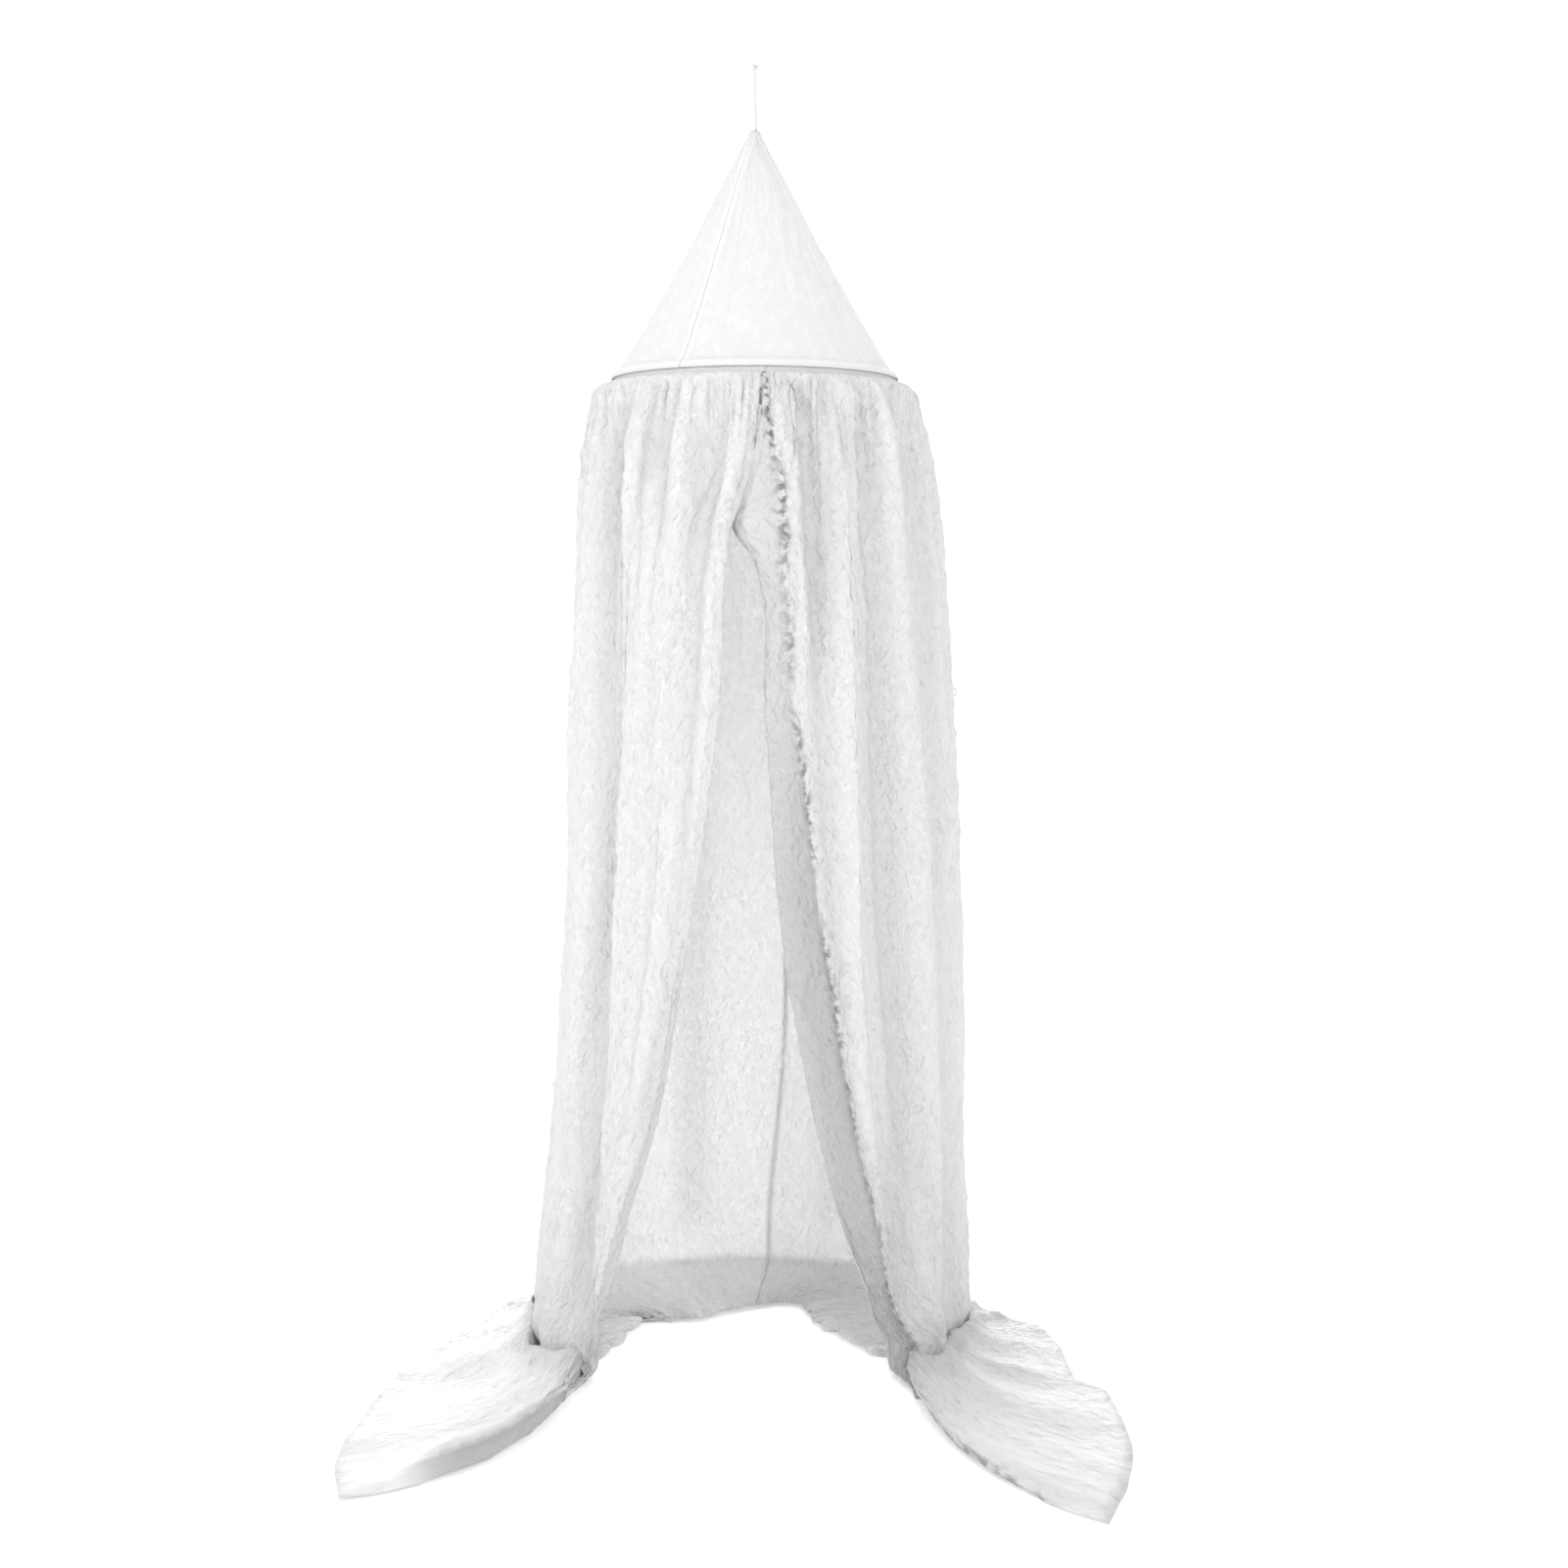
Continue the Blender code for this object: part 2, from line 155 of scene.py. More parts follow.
def spline_rows(control: Array, step: float) -> Array:
    """Run a smooth line down every column of a net of control rows.

    Args:
        control: Rows of points, shaped (rows, columns, 3).
        step: The length of a step between two made rows.

    Returns:
        The finer rows, shaped the same way.
    """
    spans = np.linalg.norm(np.diff(control, axis=0), axis=2)
    widths = np.maximum(spans.mean(axis=1), 1e-5)
    slopes = np.diff(control, axis=0) / widths[:, None, None]
    tangents = np.concatenate([slopes[:1], slopes])
    weight = (widths[1:] / (widths[:-1] + widths[1:]))[:, None, None]
    tangents[1:-1] = slopes[:-1] * weight + slopes[1:] * (1.0 - weight)
    rows = []
    for number, width in enumerate(widths):
        count = max(FEWEST_STEPS, int(round(width / step)))
        pair = slice(number, number + 2)
        rows += [cubic(part / count, width, control[pair], tangents[pair]) for part in range(count)]
    return np.array(rows + [control[-1]])


def row_lengths(net: Array) -> Array:
    """How far each row of a net lies from its first row, on the mean along its columns."""
    steps = np.linalg.norm(np.diff(net, axis=0), axis=2).mean(axis=1)
    return np.concatenate([[0.0], np.cumsum(steps)])


@dataclass(frozen=True)
class Crinkle:
    """A field of soft waves on a cloth, the same on each run. Its slant is in radians."""

    wavelength: float
    stretch: float
    slant: float
    seed: int
    waves: int = 14
    heading_spread: float = 0.55
    length_shares: Pair = (0.7, 1.6)
    sharpness: float = 3.0

    def height(self, across: Array, down: Array) -> Array:
        """Read the field, about -1 to 1, at places across and down the cloth in metres."""
        random = np.random.default_rng(self.seed)
        turned = across * math.cos(self.slant) + down * math.sin(self.slant)
        along = (down * math.cos(self.slant) - across * math.sin(self.slant)) / self.stretch
        total = np.zeros_like(turned)
        for _ in range(self.waves):
            heading = random.normal(0.0, self.heading_spread)
            length = self.wavelength * random.uniform(*self.length_shares)
            phase = random.uniform(0.0, 2.0 * math.pi)
            travel = turned * math.cos(heading) + along * math.sin(heading)
            total += np.sin(2.0 * math.pi * travel / length + phase)
        return total / math.sqrt(self.waves)

    def creases(self, across: Array, down: Array) -> Array:
        """Read the field as narrow ridges between flat cells, 0 to 1."""
        return np.exp(-np.abs(self.height(across, down)) * self.sharpness)


# Meshes

def link_mesh(name: str, points: Array, faces: Sequence[Sequence[int]]) -> Piece:
    """Make an object from points and faces, smooth all over.

    Args:
        name: The piece's name.
        points: Its points, shaped (count, 3).
        faces: Its faces, as rows of point numbers.

    Returns:
        The new object.
    """
    mesh = bpy.data.meshes.new(name)
    mesh.from_pydata(points.tolist(), [], faces)
    mesh.update()
    mesh.shade_smooth()
    piece = bpy.data.objects.new(name, mesh)
    bpy.context.scene.collection.objects.link(piece)
    return piece


def unit(vectors: Array) -> Array:
    """Vectors of length 1."""
    return vectors / np.linalg.norm(vectors, axis=-1, keepdims=True)


def grid_normals(points: Array) -> Array:
    """Unit normals of a net of rows, shaped (rows, columns, 3)."""
    down = np.gradient(points, axis=0)
    across = np.gradient(points, axis=1)
    normals = np.cross(down, across)
    lengths = np.linalg.norm(normals, axis=2, keepdims=True)
    return normals / np.maximum(lengths, 1e-12)


def closed_sheet(
    name: str,
    points: Array,
    thickness: Array,
    cloth: Array,
    doubling_and_shade: Array,
    stitching: Array,
    backed: Array | None = None,
) -> Piece:
    """Make a thin closed sheet round a net of points.

    Args:
        name: The piece's name.
        points: The middle surface, shaped (rows, columns, 3).
        thickness: The cloth's thickness at each point.
        cloth: The place of each point on the flat cut, in metres, shaped (rows, columns, 2).
        doubling_and_shade: How dark each point looks, from 0 to 1: real double layers at hems and seams,
            painted shade elsewhere.
        stitching: Distance past the stitched line and place along it, shaped (rows, columns, 2).
        backed: How close something lies under the cloth at each point, from 0 to 1.

    Returns:
        The new object, with both UV maps in metres and both attributes.
    """
    count = points.shape[0] * points.shape[1]
    shift = grid_normals(points) * (thickness / 2.0)[..., None]
    both = np.concatenate([(points + shift).reshape(-1, 3), (points - shift).reshape(-1, 3)])
    number = np.arange(count).reshape(points.shape[:2])
    front = np.stack([number[:-1, :-1], number[1:, :-1], number[1:, 1:], number[:-1, 1:]], axis=-1)
    front = front.reshape(-1, 4)
    rim = np.concatenate([number[0, :-1], number[:-1, -1], number[-1, :0:-1], number[:0:-1, 0]])
    onward = np.roll(rim, -1)
    rim_faces = np.stack([rim, onward, onward + count, rim + count], axis=-1)
    faces = np.concatenate([front, front[:, [0, 3, 2, 1]] + count, rim_faces])
    piece = link_mesh(name, both, faces.tolist())
    mesh = piece.data
    smooth = np.ones(len(faces), dtype=bool)
    smooth[-len(rim_faces):] = False
    mesh.polygons.foreach_set("use_smooth", smooth)
    corners = np.empty(len(mesh.loops), dtype=np.int32)
    mesh.loops.foreach_get("vertex_index", corners)
    for label, flat in ((UV_NAME, cloth), (STITCH_UV_NAME, stitching)):
        places = np.concatenate([flat.reshape(-1, 2)] * 2)
        layer = mesh.uv_layers.new(name=label)
        layer.data.foreach_set("uv", places[corners].astype(np.float32).ravel())
    backed = np.zeros_like(doubling_and_shade) if backed is None else backed
    for label, values in ((DOUBLING_AND_SHADE_NAME, doubling_and_shade), (BACKED_NAME, backed)):
        layer = mesh.attributes.new(label, "FLOAT", "POINT")
        layer.data.foreach_set("value", np.concatenate([values.ravel()] * 2).astype(np.float32))
    return piece


# Materials

class NodeTree:
    """Short calls for building a shader node tree."""

    def __init__(self, tree: bpy.types.NodeTree) -> None:
        """Keep the tree."""
        self.tree = tree

    def fill(self, node: bpy.types.Node, inputs: dict[str | int, object]) -> None:
        """Link each socket, or set each value, on a node's inputs."""
        for name, value in inputs.items():
            if isinstance(value, Socket):
                self.tree.links.new(value, node.inputs[name])
            else:
                node.inputs[name].default_value = value

    def add(
        self, kind: str, inputs: dict[str | int, object] | None = None, **settings: object
    ) -> bpy.types.Node:
        """Add a shader node.

        Args:
            kind: The node's type, after the words ShaderNode.
            inputs: Sockets or values for its inputs.
            **settings: Its properties, which are set first.

        Returns:
            The node.
        """
        node = self.tree.nodes.new(f"ShaderNode{kind}")
        for name, value in settings.items():
            setattr(node, name, value)
        self.fill(node, inputs or {})
        return node

    def maths(self, operation: str, first: object, second: object = 0.0, clamp: bool = False) -> Socket:
        """Add a Math node on sockets or numbers and give its output."""
        node = self.add("Math", {0: first, 1: second}, operation=operation, use_clamp=clamp)
        return node.outputs[0]

    def blend(self, share: object, low: object, high: object) -> Socket:
        """Mix two colours by the share of the second."""
        return self.add("Mix", {"Factor": share, 6: low, 7: high}, data_type="RGBA").outputs[2]

    def noise(self, place: Socket, scale: float, detail: float, **more: float) -> Socket:
        """Add a noise texture, with any further inputs by name."""
        inputs = {"Vector": place, "Scale": scale, "Detail": detail, **more}
        return self.add("TexNoise", inputs).outputs["Fac"]

    def stretched(self, place: Socket, scale: Triple) -> Socket:
        """Scale a place along each axis."""
        return self.add("VectorMath", {0: place, 1: scale}, operation="MULTIPLY").outputs[0]

    def bump(self, height: Socket, depth: float, inputs: dict[str, object] | None = None) -> Socket:
        """Add a bump of a depth in metres, with any further inputs by name."""
        return self.add("Bump", {"Height": height, "Distance": depth, **(inputs or {})}).outputs[0]

    @classmethod
    def group(cls, name: str, **inputs: float) -> tuple["NodeTree", bpy.types.NodeOutputs]:
        """Start a node group with a vector input named Place.

        Args:
            name: The group's name.
            **inputs: Number inputs and their values.

        Returns:
            The group's tree and the sockets of its inputs.
        """
        tree = bpy.data.node_groups.new(name, "ShaderNodeTree")
        tree.interface.new_socket("Place", in_out="INPUT", socket_type="NodeSocketVector")
        for label, value in inputs.items():
            socket = tree.interface.new_socket(label, in_out="INPUT", socket_type="NodeSocketFloat")
            socket.default_value = value
        return cls(tree), tree.nodes.new("NodeGroupInput").outputs

    def give(self, **outputs: Socket) -> bpy.types.NodeTree:
        """Add a group's number outputs, from the sockets to link to them, and give the group."""
        for label in outputs:
            self.tree.interface.new_socket(label, in_out="OUTPUT", socket_type="NodeSocketFloat")
        self.fill(self.tree.nodes.new("NodeGroupOutput"), outputs)
        return self.tree


class EffectGroups:
    """Node groups that more than one material uses, each built once."""

    def __init__(self) -> None:
        """Build the groups."""
        self.weave = self._weave()
        self.crepe = self._crepe()
        self.stitching = self._stitching()

    @staticmethod
    def _weave() -> bpy.types.NodeTree:
        """An open plain weave: thread height and slubs, from a place in metres."""
        tree, given = NodeTree.group("plain_weave", Threads=900.0)
        drift = tree.maths("MULTIPLY", tree.noise(given["Place"], 160.0, 1.0), 0.0022)
        waves = []
        for axis in tree.add("SeparateXYZ", {0: given["Place"]}).outputs[:2]:
            turn = tree.maths("MULTIPLY", tree.maths("ADD", axis, drift), given["Threads"])
            waves.append(tree.maths("ABSOLUTE", tree.maths("SINE", tree.maths("MULTIPLY", turn, math.pi))))
        slub = tree.noise(tree.stretched(given["Place"], (420.0, 34.0, 1.0)), 1.0, 3.0)
        return tree.give(Height=tree.maths("MAXIMUM", *waves), Slub=slub)

    @staticmethod
    def _crepe() -> bpy.types.NodeTree:
        """Fine crinkles: short soft creases that run mostly down the cloth."""
        tree, given = NodeTree.group("crepe", Size=0.012, Stretch=2.2)
        axes = tree.add("SeparateXYZ", {0: given["Place"]}).outputs[:2]
        across, down = [tree.maths("DIVIDE", axis, given["Size"]) for axis in axes]
        layers = []
        for lean, offset in ((0.55, 0.0), (-0.45, 37.0)):
            side = tree.maths("ADD", across, tree.maths("MULTIPLY", down, lean))
            along = tree.maths("ADD", down, tree.maths("MULTIPLY", across, -lean))
            along = tree.maths("DIVIDE", along, given["Stretch"])
            place = tree.add("CombineXYZ", {0: side, 1: along, 2: offset}).outputs[0]
            layers.append(tree.noise(place, 1.0, 2.0, Roughness=0.5, Distortion=0.35))
        sharp = tree.maths("MAXIMUM", *layers)
        crease = tree.maths("MULTIPLY", tree.maths("SUBTRACT", sharp, 0.5), 4.0, clamp=True)
        return tree.give(Height=tree.maths("ADD", tree.maths("ADD", *layers), sharp), Crease=crease)

    @staticmethod
    def _stitching() -> bpy.types.NodeTree:
        """A sewn line with painted shade in its puckers, from a distance past it and a place along it."""
        tree, given = NodeTree.group("stitching", Width=0.004)
        beyond, along = tree.add("SeparateXYZ", {0: given["Place"]}).outputs[:2]
        spots = tree.noise(tree.stretched(given["Place"], (75.0, 82.0, 1.0)), 1.0, 2.0)
        runs = tree.add("TexNoise", {"W": along, "Scale": 7.0, "Detail": 1.0}, noise_dimensions="1D")
        near = tree.maths("DIVIDE", beyond, given["Width"])
        near = tree.maths("MULTIPLY", near, near)
        line = tree.maths("EXPONENT", tree.maths("MULTIPLY", near, -1.0))
        dark = tree.maths("MULTIPLY", tree.maths("SUBTRACT", spots, 0.44), 7.0, clamp=True)
        strong = tree.maths("SUBTRACT", runs.outputs["Fac"], 0.32)
        strong = tree.maths("MULTIPLY", strong, 5.0, clamp=True)
        pucker = tree.maths("MULTIPLY", tree.maths("MULTIPLY", line, dark), strong)
        wide = tree.maths("EXPONENT", tree.maths("MULTIPLY", near, -0.12))
        return tree.give(Pucker=pucker, Ripple=tree.maths("MULTIPLY", wide, spots))


@dataclass(frozen=True)
class GauzeFinish:
    """Crinkled white cotton gauze that lets some light through.

    Args:
        name: The material's name.
        pale: Colour of a single layer.
        shaded: Colour of the slubs and of the painted shade between the crinkles.
        double_layer_and_shade: Colour of a double layer of cloth, and of the painted shade that the same
            mask carries.
        pucker_shade: Colour of the painted shade in the puckers along the stitched line.
        glow: Share of light that a single layer lets through.
        lost: Share of that glow lost where the mask of double layers and painted shade is full.
        backing: Share of that loss where the cloth lies on something.
        crepe_size: Size of the crinkles across the cloth.
        crepe_stretch: How much longer the crinkles are than wide.
        crepe_depth: Depth of the crinkles, in metres.
        crepe_shade: Strength of the painted shade between the crinkles' creases.
        slub_shade: How much darker its slubs are.
        weave_depth: Depth of the weave, in metres.
        weave_strength: Strength of the weave's bump.
        pucker: How strong the puckers along the stitched line are: their painted shade and the depth of
            their ripples.
        pucker_width: Half the width of that line, in metres.
        pucker_depth: Depth of its ripples, in metres.
    """

    name: str
    pale: Triple = (0.93, 0.93, 0.925)
    shaded: Triple = (0.70, 0.70, 0.695)
    double_layer_and_shade: Triple = (0.72, 0.72, 0.715)
    pucker_shade: Triple = (0.28, 0.28, 0.275)
    glow: float = 0.40
    lost: float = 0.95
    backing: float = 0.2
    crepe_size: float = 0.011
    crepe_stretch: float = 2.0
    crepe_depth: float = 0.0036
    crepe_shade: float = 0.22
    slub_shade: float = 0.16
    weave_depth: float = 0.00012
    weave_strength: float = 0.5
    pucker: float = 0.0
    pucker_width: float = 0.004
    pucker_depth: float = 0.004

    def build(self, groups: EffectGroups) -> Material:
        """Make the material with the shared node groups."""
        material = bpy.data.materials.new(self.name)
        material.use_nodes = True
        material.node_tree.nodes.clear()
        tree = NodeTree(material.node_tree)
        place, sewn = [tree.add("UVMap", uv_map=name).outputs[0] for name in (UV_NAME, STITCH_UV_NAME)]
        names = (DOUBLING_AND_SHADE_NAME, BACKED_NAME)
        doubling_and_shade, backed = [tree.add("Attribute", attribute_name=name).outputs["Fac"] for name in names]
        weave = tree.add("Group", {"Place": place}, node_tree=groups.weave).outputs
        crinkles = {"Place": place, "Size": self.crepe_size, "Stretch": self.crepe_stretch}
        crepe = tree.add("Group", crinkles, node_tree=groups.crepe).outputs
        line = {"Place": sewn, "Width": self.pucker_width}
        stitching = tree.add("Group", line, node_tree=groups.stitching).outputs

        # Painted shade between the crinkles' creases, added to the slubs' own darker tone
        between = tree.maths("MULTIPLY", crepe["Crease"], self.crepe_shade)
        between = tree.maths("SUBTRACT", self.crepe_shade, between)
        shade = tree.maths("ADD", tree.maths("MULTIPLY", weave["Slub"], self.slub_shade), between)
        # The puckers' dark spots are painted shade in their hollows
        pucker = tree.maths("MULTIPLY", stitching["Pucker"], self.pucker)
        colour = (*self.pale, 1.0)
        # The mix towards the double-layer colour is partly real double layers, partly painted shade
        for share, other in ((shade, self.shaded), (doubling_and_shade, self.double_layer_and_shade), (pucker, self.pucker_shade)):
            colour = tree.blend(share, colour, (*other, 1.0))

        normal = tree.bump(crepe["Height"], self.crepe_depth)
        normal = tree.bump(stitching["Ripple"], self.pucker_depth * self.pucker, {"Normal": normal})
        woven = {"Normal": normal, "Strength": self.weave_strength}
        normal = tree.bump(weave["Height"], self.weave_depth, woven)

        shader = tree.add("BsdfPrincipled", {
            "Base Color": colour, "Normal": normal, "Roughness": 0.92, "Specular IOR Level": 0.15,
            "Sheen Weight": 0.25, "Sheen Roughness": 0.5,
        })
        through_cloth = tree.add("BsdfTranslucent", {"Color": colour, "Normal": normal})
        covered = tree.maths("MAXIMUM", doubling_and_shade, tree.maths("MULTIPLY", backed, self.backing))
        share = tree.maths("SUBTRACT", self.glow, tree.maths("MULTIPLY", covered, self.glow * self.lost))
        mixed = tree.add("MixShader", {0: share, 1: shader.outputs[0], 2: through_cloth.outputs[0]})
        tree.add("OutputMaterial", {0: mixed.outputs[0]})
        return material


@dataclass(frozen=True)
class PlainFinish:
    """A plain surface with a fine grain, read from object coordinates.

    Args:
        name: The material's name.
        pale: Its lighter colour.
        shaded: Its darker colour.
        roughness: Its roughness.
        grain: Grains to a metre.
        depth: Depth of the grain, in metres.
    """

    name: str
    pale: Triple
    shaded: Triple
    roughness: float
    grain: float
    depth: float

    def build(self) -> Material:
        """Make the material."""
        material = bpy.data.materials.new(self.name)
        material.use_nodes = True
        tree = NodeTree(material.node_tree)
        grain = tree.noise(tree.add("TexCoord").outputs["Object"], self.grain, 3.0)
        tree.fill(material.node_tree.nodes["Principled BSDF"], {
            "Base Color": tree.blend(grain, (*self.pale, 1.0), (*self.shaded, 1.0)),
            "Normal": tree.bump(grain, self.depth), "Roughness": self.roughness,
        })
        return material


# The curtain

@dataclass(frozen=True)
class CurtainCut:
    """The sizes that both panels share. A fade is a start or an end and the width it takes."""

    # The cut, its steps, and how much closer the columns lie at the front edge
    width: float = 1.12
    length: float = 2.05
    columns: int = 168
    column_bias: float = 1.22
    row_step: float = 0.009
    # Thickness of a layer and of a hem; width of the bottom hem, its edge's blur, how dark its double layer
    # looks
    thickness: float = 0.001
    hem_thickness: float = 0.0022
    hem_width: float = 0.022
    hem_blur: float = 0.004
    hem_shade: float = 0.15
    # The same for one side of the back seam, and the width beside it over which the crinkles fade
    seam_width: float = 0.0015
    seam_blur: float = 0.002
    seam_shade: float = 0.2
    seam_flat: float = 0.03
    # Painted shade in the folds' troughs, full at this depth, with its fade at the floor by height
    hollow_shade: float = 0.17
    hollow_depth: float = 0.014
    hollow_low: Fade = (0.05, 0.1)
    # Where the wall has its side's radius, and where it starts to turn to its back's
    side_from_deg: float = 60.0
    back_from_deg: float = 90.0
    # How fast the front edge's swing and the right edge's own turn fade round the panel
    swing_fall_off: float = 2.5
    overlap_fall_off: float = 12.0
    # The heights that the fold tables name, where the folds start and where they are full
    fold_heights: Triple = (1.16, 0.75, 0.37)
    fold_start_height: float = 1.45
    fold_full_height: float = 1.36
    # Fades of a short fold at its ends, by share of its length
    short_start: Fade = (0.0, 0.06)
    short_end: Fade = (1.0, 0.45)
    # Share of the panel in which the train starts at the inner fold, and share that bends with the edge
    edge_settle: float = 0.16
    bend_reach: float = 0.5
    # Height of the train, and fades of its rise by its length and by share from the front edge
    train_height: float = 0.003
    train_from: Fade = (0.02, 0.06)
    train_edge: Fade = (0.0, 0.08)
    # Fade of the inner fold's lift by share, and how far inwards that lift reaches
    inner_until: Fade = (0.6, 0.15)
    inner_reach: float = 0.05
    # The roll of the train's front edge: the column it is turned towards, its fades along the train,
    # the least radius, the fade of the train's rise beside it, and how the cloth settles beside it
    roll_column: int = 30
    roll_start: Fade = (0.0, 0.12)
    roll_stop: float = 0.16
    roll_least: float = 1e-4
    roll_level: Fade = (0.0, 0.03)
    roll_fade: float = 0.12
    roll_settle: float = 0.055
    # The front hem: where down the cut it turns out of sight; painted shade on it at the edge and
    # how much more at its stitched line; the fade of the painted shadow under the rolled edge
    lip_end: float = 1.74
    lip_fade: float = 0.15
    lip_look: Pair = (0.65, 0.35)
    dark_fade: float = 0.05
    # Fades of the floor pleats by distance from the middle and by height, and of the floor below
    heap: Fade = (0.29, 0.04)
    pleat_top: Fade = (0.05, 0.02)
    pleat_low: Fade = (0.008, 0.004)
    backed_height: Fade = (0.034, 0.012)
    floor_gap: float = 0.0004
    # Size, stretch, slant and depth of the gathers, the wider tucks and the long soft folds
    gather: Numbers = (0.034, 16.0, 0.0, -0.01)
    tuck: Numbers = (0.075, 14.0, 0.02, 0.0055)
    long_fold: Numbers = (0.095, 11.0, 0.02, 0.0038)
    heading_start: Fade = (0.0, 0.012)
    gather_fall: float = 0.12
    tuck_fall: float = 0.35
    # How much calmer the back is, from which share, and where the crinkles start under the heading
    calm: float = 0.65
    calm_from: Fade = (0.7, 0.15)
    settled_from: Fade = (0.0, 0.1)
    # Stretch of the wrinkles; size and stretch of their patches, strengths, middle and slope; their mean
    wrinkle_stretch: float = 2.6
    patch: Pair = (0.22, 1.5)
    patch_strength: Pair = (0.35, 0.65)
    patch_sharp: Pair = (0.5, 0.6)
    relief_middle: float = 0.003
    # Width and depth of the groove beside the right panel's stitched line, and its fades
    groove: Pair = (0.007, 0.003)
    groove_top: Fade = (0.0, 0.12)
    groove_start: Fade = (0.02, 0.1)

    wall: Table = (
        # height, left, right, back
        (1.457, 0.2155, 0.2155, 0.2155), (1.46, 0.226, 0.225, 0.2255), (1.4585, 0.237, 0.235, 0.236),
        (1.45, 0.2435, 0.2405, 0.242), (1.43, 0.2465, 0.244, 0.245), (1.38, 0.249, 0.255, 0.252),
        (1.3, 0.257, 0.269, 0.26), (1.24, 0.262, 0.277, 0.264), (1.2, 0.2645, 0.2805, 0.266),
        (1.16, 0.267, 0.284, 0.268), (1.0, 0.279, 0.295, 0.275), (0.85, 0.286, 0.304, 0.28),
        (0.7, 0.292, 0.309, 0.284), (0.55, 0.302, 0.312, 0.287), (0.4, 0.311, 0.315, 0.29),
        (0.25, 0.327, 0.319, 0.292), (0.14, 0.341, 0.322, 0.292), (0.085, 0.347, 0.323, 0.29),
        (0.045, 0.349, 0.323, 0.288),
    )
    edge_swing: Table = (
        # height, left, right
        (1.457, -2.6, 3.4), (1.36, -1.2, 3.0), (1.31, 1.2, 3.1), (1.262, 4.2, 3.1), (1.232, 6.6, 3.2),
        (1.2, 7.7, 3.3), (1.16, 8.4, 3.4), (1.0, 9.4, 4.3), (0.85, 12.8, 6.0), (0.7, 17.3, 8.0),
        (0.55, 22.0, 12.0), (0.4, 27.6, 17.5), (0.25, 34.5, 25.0), (0.14, 39.0, 33.0),
        (0.085, 43.0, 39.0), (0.045, 45.5, 44.5),
    )
    edge_overlap: Table = (
        # height, degrees
        (1.42, 0.0), (1.36, -1.1), (1.31, -4.9), (1.262, -8.2), (1.232, -8.9), (1.2, -2.7), (1.16, 0.0),
    )
    seam_turn: Table = (
        # height, degrees to the right of the middle of the back
        (1.457, 4.0), (1.0, 8.0), (0.55, 9.5), (0.36, 8.6), (0.27, 6.9), (0.2, 5.0), (0.085, 3.6),
    )
    wrinkles: Table = (
        # slant, size, seed step, depth
        (0.75, 0.05, 4, 0.0034), (-0.6, 0.042, 5, 0.0028), (1.35, 0.07, 6, 0.0024),
    )
    inner_rows: Table = (
        # height, share, coming back underneath
        (0.024, 0.03, 0), (0.017, 0.14, 0), (0.0155, 0.4, 0), (0.0145, 0.64, 0), (0.0135, 0.86, 0),
        (0.0095, 1.0, 0), (0.0057, 0.95, 1), (0.0042, 0.5, 1), (0.004, 0.06, 1), (0.0032, 0.0, 1),
    )
    train_rows: Numbers = (0.05, 0.14, 0.30, 0.48, 0.66, 0.84, 1.00)
    foot_rise: Table = ((0.0, 0.023), (0.05, 0.035), (0.14, 0.026), (0.30, 0.008), (0.48, 0.0))
    floor_pleats: Table = (
        # across, depth, spread
        (0.12, 0.004, 0.012), (0.17, -0.006, 0.01), (0.31, 0.004, 0.02), (0.47, -0.005, 0.012),
        (0.62, 0.005, 0.016), (0.83, -0.006, 0.01), (0.87, 0.007, 0.014), (0.93, -0.007, 0.01),
        (0.99, 0.008, 0.016),
    )


@dataclass(frozen=True)
class PanelShape:
    """Where one panel's folds, hems and train lie.

    Args:
        side: Which panel.
        node: The frame's node that it stands for.
        folds: Crest or trough: degrees at three heights, depth, spread in degrees.
        crisp: Narrow creases beside the folds, in the same columns.
        lip: Height, depth of the turned front hem, and how far round it reaches in degrees.
        lip_width: Height and width of the front hem on the cut.
        lip_shade: Height and how dark that hem looks, from 0 to 1: partly a real double layer, mostly
            painted shade where it turns in.
        short_folds: Folds near the heading: degrees at their top and bottom, the bottom's height,
            depth, and spread in degrees.
        roll: Radius to which the train's front edge is rolled under.
        roll_end: How far along the train that roll goes, from 0 to 1.
        roll_hem: Width of the dark strip along that roll, on the cut: painted shadow on its underside.
        roll_dark_end: Where down the cut the painted shadow under that roll ends.
        train_shade: Painted shade over the train.
        inner: Share, x and y of the fold that lies inside on the floor.
        hem: Share, x and y of the hem on the floor.
        edge_bend: How far the front edge's path bends on the floor.
        train_folds: Share, height and spread of the folds of the train.
    """

    side: Side
    node: str
    folds: Table
    crisp: Table
    lip: Table
    lip_width: Table
    lip_shade: Table
    short_folds: Table
    roll: float
    roll_end: float
    roll_hem: float
    roll_dark_end: float
    train_shade: float
    inner: Table
    hem: Table
    edge_bend: Pair
    train_folds: Table


